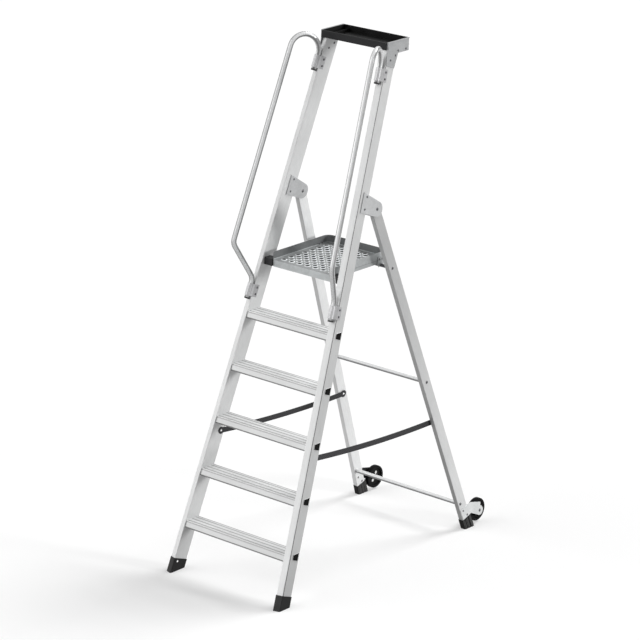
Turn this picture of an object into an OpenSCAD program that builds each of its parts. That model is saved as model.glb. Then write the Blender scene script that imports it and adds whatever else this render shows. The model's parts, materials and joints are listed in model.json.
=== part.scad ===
// Folding podium step: tapered front stiles with ribbed treads, a fold-up platform,
// hinged rear legs, two handrails, a tool tray and two transport wheels.
// Millimetres, +Z up, +Y towards the rear. The origin lies on the floor under the middle of the footprint.

/* [Frame] */
// Rise from the floor to the first tread and from tread to tread
tread_rise = 240; // [225:1:255]
// Width over the front stiles at the floor
base_w = 718; // [700:1:780]
// Backward lean of the front stiles, in degrees
lean = 20.65; // [19:0.05:22]
// Forward lean of the rear legs, in degrees
leg_lean = 18.43; // [17:0.05:20]

/* [Stiles] */
// Thickness of a stile across the ladder
stile_t = 31; // [28:0.5:34]
// Depth of a stile's inner web
stile_d = 88; // [82:0.5:94]
// How far the front flange slants back towards the outside
stile_front_set = 9.3; // [4:0.1:14]
// How far the rear flange slants forward towards the outside
stile_rear_set = 17.7; // [6:0.1:22]
// Wall of the stile's hollow section
stile_wall = 2.5; // [2:0.1:3.5]
// Radius of the stile's long edges
stile_edge_r = 3; // [2.6:0.1:4.5]
// Width of the groove beside the front outer edge
groove_w = 2.4; // [1:0.1:3.5]
// Depth of that groove
groove_deep = 1.3; // [0.4:0.1:1.6]

/* [Treads] */
// Tread depth, front to back
tread_d = 84; // [76:0.5:88]
// Tread height
tread_h = 33; // [31:0.5:38]
// Wall of the hollow tread
tread_wall = 2.6; // [2.2:0.1:3.2]
// Distance of the tread's front behind the stile's front edge
tread_setback = 8; // [4:0.5:12]
// Number of grip grooves along the tread top
grip_n = 9; // [5:1:11]
// Width of one grip groove
grip_w = 3.4; // [2:0.1:4]
// Depth of one grip groove
grip_deep = 1.1; // [0.5:0.1:1.6]
// Radius of the tread's nose
nose_r = 4; // [3:0.5:6]

/* [Tread ends] */
// Width of the tread end that passes through the stile
stub_w = 25; // [22:0.5:28]
// Height of that end at its front
stub_h = 18.5; // [17:0.5:22]
// Place of its front edge behind the stile's front
stub_back = 24; // [20:0.5:28]
// Its distance below the tread top
stub_drop = 3; // [2.8:0.1:5]
// Wall of the tread end
stub_wall = 2.4; // [2:0.1:3]
// Width of the flared collar outside the stile
collar_w = 4; // [3:0.1:5]
// Height of the flared collar
collar_h = 1.8; // [1:0.1:3]

/* [Platform] */
// Platform width
deck_w = 374; // [350:1:380]
// Width of a bearing block between platform and stile
bearing_w = 46.5; // [40:0.5:55]
// Platform depth
deck_d = 383; // [360:1:400]
// Distance of the platform's front behind the stiles' front line, along the floor
deck_set = 14; // [10:0.5:20]
// Thickness of the platform sheet
deck_t = 3; // [2:0.1:4]
// Height of the upstand above the deck
upstand_h = 37; // [25:0.5:45]
// Height of the skirt below the deck
skirt_h = 17; // [12:0.5:20]
// Height of the front fascia
fascia_h = 34; // [30:0.5:38]
// Radius of the platform's rear corners
deck_corner_r = 34; // [20:1:45]
// Diameter of one grip hole in the deck
hole_d = 14; // [8:0.5:18]
// Distance between the diagonal rows of grip holes, along X and along Y
hole_step = 24.5; // [22:0.5:30]

/* [Rear frame] */
// Thickness of a rear leg across the ladder
leg_t = 25; // [22:0.5:26]
// Depth of a rear leg
leg_d = 56; // [50:0.5:60]
// Wall of a rear leg's hollow section
leg_wall = 2.2; // [1.8:0.1:3]
// Height of the hinge above the platform
hinge_over = 278; // [250:1:300]
// Distance of the hinge behind the stile's front outer edge
hinge_back = 133; // [130:0.5:140]
// Radius of the hinge bolt
hinge_r = 6; // [5:0.25:7]
// Thickness of a hinge plate
hinge_plate_t = 4; // [3:0.1:5]
// Radius of a hinge plate's round end
hinge_end_r = 36; // [34:0.5:41]
// Gap between rear leg and outer hinge plate
leg_gap_out = 3.5; // [3:0.1:4]
// Height of the upper crossbar
upper_bar_z = 808; // [740:1:860]
// Height of the lower crossbar
lower_bar_z = 138; // [120:1:170]
// Radius of the crossbars
bar_r = 10; // [8:0.25:11]
// Radius of the rod that carries the platform's rear
rod_r = 8; // [6:0.25:9]

/* [Feet] */
// Wall of the plastic feet
foot_wall = 3; // [2.5:0.1:4]
// Thickness of the sole under the stile or leg
sole_t = 9; // [6:0.5:12]
// Length of a front foot along the stile
front_foot_len = 72.5; // [60:0.5:85]
// Length of a rear foot along the leg
rear_foot_len = 61; // [56:0.5:62]

/* [Wheels] */
// Radius of a transport wheel
wheel_r = 57.5; // [50:0.5:60]
// Width of the tyre
tyre_w = 20; // [14:0.5:22]
// Height of the tyre above its rim
tyre_h = 8; // [6:0.5:10]
// Width of the wheel's drum beside the tyre
drum_w = 10; // [8:0.5:14]
// Radius of the drum
drum_r = 34; // [31:0.5:36]
// Radius of the axle
axle_r = 6; // [5:0.25:7]
// Distance of the axle behind the leg's centre line
axle_back = 98; // [95:0.5:104]
// Distance of the axle above the floor, along the leg
axle_over_foot = 37.5; // [36:0.5:50]
// Thickness of the wheel bracket
bracket_t = 3; // [2:0.1:4]

/* [Handrails] */
// Diameter of the handrail tube
rail_d = 25; // [22:0.5:25.5]
// Wall of the handrail tube
rail_wall = 2; // [1.5:0.1:3]
// How far the rail stands off from its clamped ends
rail_bow = 146.5; // [130:0.5:165]
// Turn of the rail's plane outwards, in degrees
rail_turn = 25.6; // [15:0.1:32]
// Distance from tube centre to the stile's front outer edge
rail_front = 19.5; // [19:0.1:22]
// Radius of the lower bends
rail_bend_r = 50; // [40:1:60]
// Lower end of the rail, below the platform
rail_low = 174; // [174:1:195]
// Lower inner bend, below the platform
rail_bend_low = 87; // [80:1:95]
// Lower outer bend, above the platform
rail_bend_high = 85; // [80:1:120]
// Centre of the top hook, below the tray's rim
rail_hook_low = 82; // [80:1:105]
// Upper end of the rail, below the tray's rim
rail_top_low = 173; // [173:1:195]
// Length of a rail clamp
clamp_len = 60; // [50:0.5:64]
// Sheet thickness of a rail clamp
clamp_t = 2.5; // [2:0.1:3]
// Length of a clamp's flange along the stile's side
clamp_flange = 23; // [20:0.5:30]

/* [Tray] */
// Height of the tray's rim above the platform
tray_over = 1030; // [1000:1:1060]
// Depth of the tray, front to back
tray_d = 160; // [145:1:170]
// Height of the tray
tray_h = 34; // [28:0.5:38]
// Wall of the tray
tray_wall = 3.5; // [2.5:0.1:5]
// Distance of the tray's front before the stiles' front line, along the floor
tray_front = 28; // [20:0.5:34]
// Thickness of a tray bracket
tray_plate_t = 3; // [2:0.1:4]
// Width of the bracket's folded top and front edges
tray_fold = 8; // [6:0.5:10]

/* [Straps] */
// Height of the straps' front ends
strap_front_z = 642; // [600:1:660]
// Height of the straps' rear ends
strap_rear_z = 591; // [560:1:620]
// Width of a strap
strap_w = 27; // [18:0.5:30]
// Thickness of a strap
strap_t = 2.5; // [1.5:0.1:3]
// Sag at the middle of a strap
strap_sag = 13; // [6:0.5:20]

/* [Hidden] */
$fn = 48;

// Colours
alu = "silver";
zinc = "lightslategray";
bright = "gainsboro";
plastic = "dimgray";
rubber = "black";

// Clearances: fixed holes, running fits, seats and washers, and the overrun of every cut
fit_gap = 0.1;
run_gap = 0.05;
seat_gap = 0.3;
washer_gap = 0.9;
overrun = 5;

// Fasteners
rivet_r = 3;
rivet_head_r = 5.5;
rivet_head_h = 2.6;
screw_head_h = 4.5;
bolt_head_r = 8;
bolt_head_h = 3.5;

// Levels and shared places
deck_z = 6*tread_rise;

// Inward slant of stiles and rear legs, which lets platform and bearing blocks just fit between the stiles
side_room = (base_w - deck_w)/2 - bearing_w;
taper = acos(stile_t/norm([side_room, deck_z])) - atan2(deck_z, side_room);

// Depths and heights that several pieces share
tray_z = deck_z + tray_over;
tray_floor_z = tray_z - tray_h;
reach = 2*tray_z;
deck_y = front_y(deck_z) + deck_set;
skirt_z = deck_z - skirt_h;
fascia_z = deck_z - fascia_h;
rim_z = deck_z + upstand_h;
tray_y = front_y(tray_z) - tray_front;

// Stile section, outside first, in the stile's own frame
stile_pts = [
  [0, 0],
  [0, stile_d - stile_front_set - stile_rear_set],
  [-stile_t, stile_d - stile_front_set],
  [-stile_t, -stile_front_set]
];
stile_rear = stile_d - stile_front_set;
groove_back = stile_edge_r + groove_w/2;

// Hinge, leg and axle places
hinge_up = along(deck_z + hinge_over, hinge_back);
hinge_pt = from_stile([0, hinge_back, hinge_up]);
leg_in = leg_gap_out + leg_t;
leg_pts = [
  [-leg_gap_out, -leg_d/2],
  [-leg_gap_out, leg_d/2],
  [-leg_in, leg_d/2],
  [-leg_in, -leg_d/2]
];
leg_edge_r = 3;
leg_top = 22;
leg_floor = hinge_pt.z/(cos(taper)*cos(leg_lean));
rear_foot_top = -leg_floor + rear_foot_len;
rear_foot_extra = 5;
axle_down = leg_floor - axle_over_foot;
axle_pt = from_leg([-leg_gap_out, axle_back, -axle_down]);

// Footprint: foremost edge of a front foot and rearmost point of a wheel
foot_front_y = -(stile_front_set + foot_wall)/cos(lean) + (stile_t + foot_wall)*tan(taper)*tan(lean);
mid_y = (foot_front_y + axle_pt.y + wheel_r)/2;

// Platform pivot and the rod that carries its rear
pivot_back = 10;
pivot_r = 6;
bearing_d = 38;
bearing_h = 35;
pivot_y = deck_y + pivot_back;
pivot_z = deck_z - deck_t - pivot_back;
wall_t = 2.5;
deck_edge_r = 12;
rod_z = skirt_z - seat_gap - rod_r;
rod_fore_share = 0.1;
rod_y = leg_y(rod_z) - leg_d*rod_fore_share;
hook_t = 4;
hook_w = 42;
hook_low = 10;
hook_high = 34;
hook_rivet_share = 2/3;

// Wheel
rim_r = wheel_r - tyre_h;
hub_r = 12;
web_t = 5;
rim_t = 4;
window_n = 4;
window_r = 8.2;
window_at = 21;
window_turn = -31.5;
wheel_gap = 2.6;
wheel_x = -(wheel_gap + drum_w + tyre_w);

// Handrail, in the plane through its clamped ends
rail_r = rail_d/2;
rail_lo = along(deck_z - rail_low, -rail_front);
rail_hi = along(tray_z - rail_top_low, -rail_front);
bend_lo = along(deck_z - rail_bend_low, -rail_front);
bend_hi = along(deck_z + rail_bend_high, -rail_front - rail_bow*cos(rail_turn));
hook_v = along(tray_z - rail_hook_low, -rail_front - rail_bow*cos(rail_turn)/2);
bend_a = atan2(rail_bow, bend_hi - bend_lo);
bend_tan = rail_bend_r*tan(bend_a/2);
plug_t = 7;
plug_len = 14;
clamp_end = 8;
clamp_hole_in = 14;
clamp_holes = [clamp_hole_in, clamp_len - clamp_hole_in];
clamp_hole_back = clamp_flange/2;

// Hinge plate places behind the stile's front and along the stile from the hinge
plate_front = 22;
plate_up = 61;
plate_low = 34;
plate_rivet_back = 46.5;
plate_rivets = [44.5, -14.5];

// Tray bracket corners, behind the tray's front and below its rim
plate_step = 8;
bracket_rear_drop = 59;
bracket_leg_drop = 105;
bracket_rivet_back = [26, 54];
bracket_rivet_drop = [75, 48];
lug_rivet_back = [80, 134];
lug_rivet_drop = 48;
lug_drop = 58;
lug_d = 70;
divider_in = 30;
divider_t = 2.5;
divider_h = 18;

// Straps in the side plane
strap_eye_back = 56;
strap_y0 = front_y(strap_front_z) + strap_eye_back;
strap_y1 = leg_y(strap_rear_z);
strap_x = -stile_t - strap_t;
strap_n = 16;
eye_r = 4;
eye_head_r = 5.5;
eye_rim = 4.5;

// Foot ribs and rivets
rib_n = 3;
rib_w = 7;
rib_t = 1.6;
foot_rivet_back = 12;
foot_rivet_low = 14;

// Height and depth on the floor of the stile's front outer edge
function front_y(z) = z*tan(lean)/cos(taper);

// Distance along the stile of the point at height z and depth y behind the front outer edge
function along(z, y) = (z/cos(taper) + y*sin(lean))/cos(lean);

// Floor depth of the rear leg's centre line at height z
function leg_y(z) = hinge_pt.y + (hinge_pt.z - z)*tan(leg_lean)/cos(taper);

// Points of the stile's and the leg's own frames, in the frame of the floor
function tip(p, y, z) = [p.x*cos(taper) - z*sin(taper), y, p.x*sin(taper) + z*cos(taper)];
function from_stile(p) = [base_w/2, 0, 0]
  + tip(p, p.y*cos(lean) + p.z*sin(lean), p.z*cos(lean) - p.y*sin(lean));
function from_leg(p) = hinge_pt
  + tip(p, p.y*cos(leg_lean) - p.z*sin(leg_lean), p.z*cos(leg_lean) + p.y*sin(leg_lean));

// Corner work on a convex outline drawn anticlockwise: edge directions, inward normals, mitres and arcs
function unit(v) = v/norm(v);
function inward(a, b) = let (e = unit(b - a)) [-e.y, e.x];
function corner(pts, i, d) = let (
    n = len(pts),
    u = inward(pts[(i + n - 1) % n], pts[i]),
    v = inward(pts[i], pts[(i + 1) % n])
  ) pts[i] + d*(u + v)/(1 + u*v);
function inset(pts, d) = [for (i = [0 : len(pts) - 1]) corner(pts, i, d)];
function arc(c, r, u, v, steps) = let (
    a = atan2(-u.y, -u.x),
    turn = acos(min(1, max(-1, u*v)))
  ) [for (k = [0 : steps]) c + r*[cos(a + turn*k/steps), sin(a + turn*k/steps)]];
function rounded(pts, r, steps = 4) = let (n = len(pts)) [
  for (i = [0 : n - 1])
    for (p = arc(corner(pts, i, r), r,
        inward(pts[(i + n - 1) % n], pts[i]), inward(pts[i], pts[(i + 1) % n]), steps)) p
];

// Point where a line from p touches the circle about c, on the given side
function touch(p, c, r, side) = let (
    d = p - c,
    a = atan2(d.y, d.x) + side*acos(r/norm(d))
  ) c + r*[cos(a), sin(a)];

// Frames: the floor's, the slanted side's, the stile's, the leg's, and square axes at a point
module world() {
  translate([0, -mid_y, 0]) children();
}

module mirrored(side) {
  mirror([side < 0 ? 1 : 0, 0, 0]) children();
}

module side_frame(side) {
  world() mirrored(side) translate([base_w/2, 0, 0]) rotate([0, -taper, 0]) children();
}

module stile_frame(side) {
  side_frame(side) rotate([-lean, 0, 0]) children();
}

module leg_frame(side) {
  world() mirrored(side) translate(hinge_pt) rotate([0, -taper, 0]) rotate([leg_lean, 0, 0]) children();
}

module at_point(side, p) {
  world() mirrored(side) translate(p) children();
}

module rail_frame(side) {
  stile_frame(side) translate([-stile_t/2, -rail_front, 0]) rotate([0, 0, rail_turn - 90]) children();
}

// A plate whose outline lies in (y, z), and a bar along x
module plate(x, t) {
  translate([x, 0, 0]) rotate([90, 0, 90]) linear_extrude(t) children();
}

module bar_x(x0, x1, r) {
  translate([x0, 0, 0]) rotate([0, 90, 0]) cylinder(h = x1 - x0, r = r);
}

// Everything below a height, and everything outside the slanted side planes
module below(z) {
  translate([-reach, -reach, z - reach]) cube([2*reach, 2*reach, reach]);
}

module above(z) {
  translate([-reach, -reach, z]) cube([2*reach, 2*reach, reach]);
}

module outside(in) {
  for (side = [-1, 1])
    mirrored(side) translate([base_w/2, 0, 0]) rotate([0, -taper, 0])
      translate([-in, -reach, -reach]) cube([reach, 2*reach, 2*reach]);
}

// Domed fastener head standing on the plane x = 0
module head(r, h) {
  bulge = (r*r + h*h)/(2*h);
  rotate([0, 90, 0]) intersection() {
    translate([0, 0, h - bulge]) sphere(r = bulge);
    cylinder(h = h, r = r);
  }
}

// Rivet or screw along x with a head at both ends
module fastener(x0, x1, r, head_r, head_h) {
  bar_x(x0, x1, r);
  translate([x1, 0, 0]) head(head_r, head_h);
  translate([x0, 0, 0]) mirror([1, 0, 0]) head(head_r, head_h);
}

// Stile: hollow section with slanted flanges, cut level at the sole and under the tray
module stile(side) {
  color(alu) difference() {
    stile_frame(side) difference() {
      linear_extrude(along(tray_z, 0)) difference() {
        polygon(rounded(stile_pts, stile_edge_r));
        polygon(rounded(inset(stile_pts, stile_wall), stile_edge_r - stile_wall));
        translate([0, groove_back]) square([2*groove_deep, groove_w], center = true);
      }
      stile_holes();
    }
    world() below(sole_t);
    world() above(tray_floor_z);
  }
}

module stile_holes() {
  for (n = [1 : 5]) plate(-stile_t - overrun, stile_t + 2*overrun) polygon(stub_pts(n, fit_gap));
  for (p = through_places()) translate([0, p.x, p.y]) bar_x(-stile_t - overrun, overrun, rivet_r + fit_gap);
  translate([0, foot_rivet_back, foot_rivet_z()]) bar_x(-stile_t - overrun, -stile_t/2, rivet_r + fit_gap);
  translate([0, strap_hole().x, strap_hole().y]) bar_x(-stile_t - overrun, -stile_t/2, eye_r + fit_gap);
}

function foot_rivet_z() = along(0, 0) + front_foot_len - foot_rivet_low;
function strap_hole() = [
  strap_y0*cos(lean) - strap_front_z/cos(taper)*sin(lean),
  strap_y0*sin(lean) + strap_front_z/cos(taper)*cos(lean)
];

// Depth and length along the stile of every rivet and screw that goes right through it
function clamp_lows() = [rail_lo + clamp_end, rail_hi + clamp_end];
function clamp_places() = [for (low = clamp_lows()) for (v = clamp_holes) [clamp_hole_back, low + v]];
function hinge_places() = [for (v = plate_rivets) [plate_rivet_back, hinge_up + v]];
function tray_places() = [for (i = [0 : len(bracket_rivet_back) - 1])
  [bracket_rivet_back[i], along(tray_z - bracket_rivet_drop[i], 0)]];
function through_places() = concat(clamp_places(), hinge_places(), tray_places());

// Outline of a tread end where it passes through the stile: level top, square bottom
function stub_top(n, y) = along(n*tread_rise, 0) + y*tan(lean) - stub_drop/cos(lean);
function stub_pts(n, grow) = let (
    y0 = stub_back - grow,
    y1 = stub_back + stub_w + grow,
    low = stub_top(n, stub_back) - stub_h - grow
  ) [[y0, low], [y1, low], [y1, stub_top(n, y1) + grow], [y0, stub_top(n, y0) + grow]];

// Tread outline: level top and bottom, front and rear along the stile
tread_f = tread_setback - stile_front_set/cos(lean);
tread_pts = [
  [tread_f - tread_h*tan(lean), -tread_h],
  [tread_f + tread_d - tread_h*tan(lean), -tread_h],
  [tread_f + tread_d, 0],
  [tread_f, 0]
];
grip_share = 0.9;
grip_pitch = tread_d*grip_share/grip_n;

// Tread: hollow plank with a closed end, tubular ends through both stiles and flared collars
module tread(n) {
  z = n*tread_rise;
  color(alu) difference() {
    union() {
      world() difference() {
        translate([0, front_y(z), z]) plank(tread_pts, nose_r, base_w);
        translate([0, front_y(z), z]) grip_grooves();
        outside(stile_t);
      }
      for (side = [-1, 1]) stile_frame(side) {
        plate(-stile_t - tread_wall, stile_t + tread_wall) polygon(stub_pts(n, 0));
        plate(0, collar_h) polygon(stub_pts(n, collar_w));
      }
    }
    world() difference() {
      translate([0, front_y(z), z]) plank(inset(tread_pts, tread_wall), nose_r - tread_wall, base_w);
      outside(stile_t + tread_wall);
    }
    for (side = [-1, 1]) stile_frame(side)
      plate(-stile_t - tread_wall - overrun, stile_t + tread_wall + 2*overrun)
        polygon(stub_pts(n, -stub_wall));
  }
}

module plank(pts, r, len) {
  rotate([90, 0, 90]) linear_extrude(len, center = true) polygon(rounded(pts, r));
}

module grip_grooves() {
  for (i = [0 : grip_n - 1])
    translate([0, tread_f + tread_d/2 + (i - (grip_n - 1)/2)*grip_pitch, 0])
      cube([base_w, grip_w, 2*grip_deep], center = true);
}

// Plastic plugs in the open tread ends, with a cap on the collar
end_cap_t = 1.5;
end_cap_over = 3;

module tread_end_plugs() {
  color(rubber) for (side = [-1, 1], n = [1 : 5]) stile_frame(side) {
    plate(-stile_t/2, stile_t/2 + collar_h + end_cap_t/2) polygon(stub_pts(n, -stub_wall - fit_gap));
    plate(collar_h, end_cap_t) polygon(stub_pts(n, end_cap_over));
  }
}

// Front foot: cap over the stile's end, cut level on the floor
module front_foot(side) {
  color(rubber) difference() {
    stile_frame(side) translate([0, 0, -stile_d]) linear_extrude(stile_d + front_foot_len)
      polygon(rounded(inset(stile_pts, -foot_wall), stile_edge_r + foot_wall));
    difference() {
      stile_frame(side) translate([0, 0, -stile_d]) linear_extrude(2*stile_d + front_foot_len)
        polygon(rounded(stile_pts, stile_edge_r));
      world() below(sole_t);
    }
    stile_frame(side) translate([0, foot_rivet_back, foot_rivet_z()])
      bar_x(-stile_t - foot_wall - overrun, -stile_t/2, rivet_r + fit_gap);
    world() below(0);
  }
}

module front_foot_rivets() {
  color(bright) for (side = [-1, 1]) stile_frame(side)
    translate([-stile_t - foot_wall, foot_rivet_back, foot_rivet_z()]) {
      bar_x(0, foot_wall + stile_t/2, rivet_r);
      mirror([1, 0, 0]) head(rivet_head_r, rivet_head_h);
    }
}

// Hinge plates: round about the bolt, straight along the stile
plate_eye = [hinge_back, hinge_up];
plate_tip = [plate_front, hinge_up + plate_up];
plate_toe = [plate_front, hinge_up - plate_low];

module hinge_outline() {
  difference() {
    union() {
      translate(plate_eye) circle(hinge_end_r);
      polygon([plate_toe, touch(plate_toe, plate_eye, hinge_end_r, 1), plate_eye,
        touch(plate_tip, plate_eye, hinge_end_r, -1), plate_tip]);
    }
    for (p = hinge_places()) translate(p) circle(rivet_r + fit_gap);
  }
}

module hinge_plate(side, x) {
  color(zinc) difference() {
    stile_frame(side) plate(x, hinge_plate_t) hinge_outline();
    at_point(side, hinge_pt) bar_x(-stile_t - 3*hinge_plate_t, 3*hinge_plate_t, hinge_r + fit_gap);
  }
}

module hinge_rivets() {
  color(bright) for (side = [-1, 1], p = hinge_places()) stile_frame(side) translate([0, p.x, p.y])
    fastener(-stile_t - hinge_plate_t, hinge_plate_t, rivet_r, rivet_head_r, rivet_head_h);
}

// Hinge bolts: level shank through both plates and the leg, heads flat on the slanted plates
module hinge_bolts() {
  color(bright) for (side = [-1, 1]) {
    at_point(side, hinge_pt) bar_x(-stile_t - hinge_plate_t, hinge_plate_t, hinge_r);
    stile_frame(side) translate([0, hinge_back, hinge_up]) {
      translate([hinge_plate_t, 0, 0]) head(bolt_head_r, bolt_head_h);
      translate([-stile_t - hinge_plate_t, 0, 0]) mirror([1, 0, 0]) head(bolt_head_r, bolt_head_h);
    }
  }
}

// Bearing block between stile and platform, bored for the platform's pin
module platform_bearing(side) {
  color(rubber) world() mirrored(side) difference() {
    translate([deck_w/2 + seat_gap, pivot_y - bearing_d/2, pivot_z - bearing_h/2])
      cube([base_w/2, bearing_d, bearing_h]);
    outside(stile_t);
    translate([0, pivot_y, pivot_z]) bar_x(0, base_w, pivot_r + run_gap);
  }
}

// Tool tray: open box between the side brackets, with a divider and lugs behind the stiles
module tray() {
  color(plastic) world() difference() {
    union() {
      difference() {
        translate([-base_w/2, tray_y, tray_floor_z]) cube([base_w, tray_d, tray_h]);
        translate([-tray_in, tray_y + tray_wall, tray_floor_z + tray_wall])
          cube([2*tray_in, tray_d - 2*tray_wall, tray_h]);
        outside(0);
      }
      lugs();
      divider();
    }
    for (side = [-1, 1]) lug_bores(side);
  }
}

// Half the tray's width inside
tray_in = base_w/2 - tray_z*tan(taper) - tray_wall;

// Lugs under the tray's ends, behind the stiles
module lugs() {
  low = tray_floor_z + tray_h - lug_drop;
  difference() {
    translate([-base_w/2, tray_y + tray_d - lug_d - tray_wall, low])
      cube([base_w, lug_d, tray_floor_z + tray_wall - low]);
    outside(0);
    difference() {
      translate([-base_w/2, tray_y, low - overrun]) cube([base_w, tray_d, tray_floor_z - low + overrun]);
      outside(tray_wall);
    }
  }
}

module divider() {
  translate([-tray_in + divider_in, tray_y + tray_wall/2, tray_floor_z + tray_wall/2])
    cube([divider_t, tray_d - tray_wall, divider_h]);
}

// Height above the floor of the lug rivets
lug_rivet_z = tray_z - lug_rivet_drop;

module lug_bores(side) {
  mirrored(side) translate([base_w/2, 0, 0]) rotate([0, -taper, 0])
    for (y = lug_rivet_back)
      translate([0, tray_y + y, lug_rivet_z/cos(taper)])
        bar_x(-tray_wall - overrun, overrun, rivet_r + fit_gap);
}

// Tray bracket: plate on the stile's outer face that carries the tray's end, with folded top and front edges
bracket_top = tray_z/cos(taper);
bracket_pts = [
  [tray_y + plate_step, bracket_top],
  [stile_y(stile_edge_r, bracket_leg_drop), bracket_top - bracket_leg_drop + stile_edge_r*tan(lean)],
  [stile_y(stile_pts[1].y, bracket_leg_drop + stile_pts[1].y*sin(lean)),
    bracket_top - bracket_leg_drop - stile_pts[1].y*sin(lean)*cos(lean)],
  [stile_y(stile_pts[1].y, bracket_rear_drop) + plate_step, bracket_top - bracket_rear_drop],
  [tray_y + tray_d - plate_step, bracket_top - bracket_rear_drop],
  [tray_y + tray_d, bracket_top]
];

// Floor depth of a line along the stile, y behind its front outer edge, at a drop below the tray's rim
function stile_y(y, drop) = (bracket_top - drop)*tan(lean) + y/cos(lean);

module tray_bracket(side) {
  color(zinc) difference() {
    side_frame(side) union() {
      plate(0, tray_plate_t) polygon(bracket_pts);
      translate([0, tray_y + plate_step, bracket_top - tray_plate_t])
        cube([tray_fold, tray_d - plate_step, tray_plate_t]);
      translate([0, tray_y + plate_step, bracket_top - tray_h]) cube([tray_fold, tray_plate_t, tray_h]);
    }
    stile_frame(side) for (p = tray_places())
      translate([0, p.x, p.y]) bar_x(-overrun, tray_plate_t + overrun, rivet_r + fit_gap);
    world() lug_bores(side);
  }
}

module tray_rivets() {
  color(bright) for (side = [-1, 1]) {
    stile_frame(side) for (p = tray_places())
      translate([0, p.x, p.y]) fastener(-stile_t, tray_plate_t, rivet_r, rivet_head_r, rivet_head_h);
    side_frame(side) for (y = lug_rivet_back)
      translate([0, tray_y + y, lug_rivet_z/cos(taper)])
        fastener(-tray_wall, tray_plate_t, rivet_r, rivet_head_r, rivet_head_h);
  }
}

// Handrail: one bent tube in its own plane, from the lower clamp round the top hook to the upper clamp.
// Each station of its line holds its place in that plane and the angle of the tube's normal there.
rail_sides = 24;
bend_steps = 6;
hook_steps = 18;
function bend_line(u, v, r, from, turn, steps, flip) = [for (k = [0 : steps])
  let (a = from + turn*k/steps) [u + r*cos(a), v + r*sin(a), a + flip]];
rail_line = concat(
  [[0, rail_lo, 180]],
  bend_line(rail_bend_r, bend_lo - bend_tan, rail_bend_r, 180, -bend_a, bend_steps, 0),
  bend_line(rail_bow - rail_bend_r, bend_hi + bend_tan, rail_bend_r, -bend_a, bend_a, bend_steps, 180),
  bend_line(rail_bow/2, hook_v, rail_bow/2, 0, 180, hook_steps, 180),
  [[0, rail_hi, 360]]
);
rail_n = len(rail_line);

function tube_points(r) = [for (p = rail_line) for (k = [0 : rail_sides - 1]) let (a = k*360/rail_sides)
  [p.x + r*cos(a)*cos(p.z), r*sin(a), p.y + r*cos(a)*sin(p.z)]];

// Point number on the outer skin, or on the inner one
function out_at(i, k) = i*rail_sides + k % rail_sides;
function in_at(i, k) = rail_n*rail_sides + out_at(i, k);

module handrail(side) {
  last = rail_n - 1;
  color(bright) rail_frame(side) polyhedron(
    points = concat(tube_points(rail_r), tube_points(rail_r - rail_wall)),
    faces = [for (k = [0 : rail_sides - 1]) each concat(
      [[out_at(0, k), in_at(0, k), in_at(0, k + 1), out_at(0, k + 1)]],
      [[out_at(last, k), out_at(last, k + 1), in_at(last, k + 1), in_at(last, k)]],
      [for (i = [0 : last - 1]) [out_at(i, k), out_at(i, k + 1), out_at(i + 1, k + 1), out_at(i + 1, k)]],
      [for (i = [0 : last - 1]) [in_at(i, k), in_at(i + 1, k), in_at(i + 1, k + 1), in_at(i, k + 1)]]
    )]
  );
}

// Plastic plugs in the rail's four ends
module rail_end_plugs() {
  color(rubber) for (side = [-1, 1], v = [rail_lo, rail_hi]) rail_frame(side) translate([0, 0, v]) {
    translate([0, 0, -plug_t]) cylinder(h = plug_t, r = rail_r);
    cylinder(h = plug_len, r = rail_r - rail_wall - 2*fit_gap);
  }
}

// Rail clamp: sheet saddle round the tube with a flange on each side of the stile
module clamp_outline(t) {
  grip = rail_r + t;
  translate([-stile_t/2, -rail_front]) circle(grip);
  polygon([
    [t, clamp_flange],
    [-stile_t - t, clamp_flange],
    [-stile_t - t, -stile_front_set],
    [-stile_t/2 - grip, -rail_front],
    [-stile_t/2 + grip, -rail_front],
    [t, 0]
  ]);
}

module rail_clamp(side, low) {
  color(zinc) stile_frame(side) difference() {
    translate([0, 0, low]) linear_extrude(clamp_len) difference() {
      clamp_outline(clamp_t);
      translate([-stile_t/2, -rail_front]) circle(rail_r + fit_gap);
      polygon([
        [0, clamp_flange + overrun],
        [-stile_t, clamp_flange + overrun],
        [-stile_t, -stile_front_set],
        [-stile_t/2 - rail_r, -rail_front],
        [-stile_t/2 + rail_r, -rail_front],
        [0, 0]
      ]);
    }
    for (v = clamp_holes) translate([0, clamp_hole_back, low + v])
      bar_x(-stile_t - clamp_t - overrun, clamp_t + overrun, rivet_r + fit_gap);
  }
}

module clamp_screws() {
  color(bright) for (side = [-1, 1], p = clamp_places()) stile_frame(side) translate([0, p.x, p.y])
    fastener(-stile_t - clamp_t, clamp_t, rivet_r, rivet_head_r, screw_head_h);
}

// Spreader strap: flat webbing in the side plane, sagging between its two eyes
function strap_at(s) = [
  strap_y0 + (strap_y1 - strap_y0)*s,
  (strap_front_z + (strap_rear_z - strap_front_z)*s)/cos(taper) - 4*strap_sag*s*(1 - s)
];
strap_line = [for (i = [0 : strap_n]) strap_at(i/strap_n)];
strap_top = [for (i = [strap_n - 1 : -1 : 1]) strap_line[i] + [0, strap_w/2]];
strap_under = [for (i = [1 : strap_n - 1]) strap_line[i] - [0, strap_w/2]];

// Round end of a strap, wider than its webbing
strap_end_n = 20;
strap_end_r = strap_w/2 + eye_rim;
strap_neck = asin(strap_w/2/strap_end_r);
function strap_end(p, from) = [for (k = [0 : strap_end_n])
  let (a = from + strap_neck + k*(360 - 2*strap_neck)/strap_end_n) p + strap_end_r*[cos(a), sin(a)]];

module strap(side) {
  color(rubber) side_frame(side) plate(strap_x, strap_t) difference() {
    polygon(concat(
      strap_under, strap_end(strap_line[strap_n], 180), strap_top, strap_end(strap_line[0], 0)
    ));
    for (p = [strap_line[0], strap_line[strap_n]]) translate(p) circle(eye_r + fit_gap);
  }
}

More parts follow.
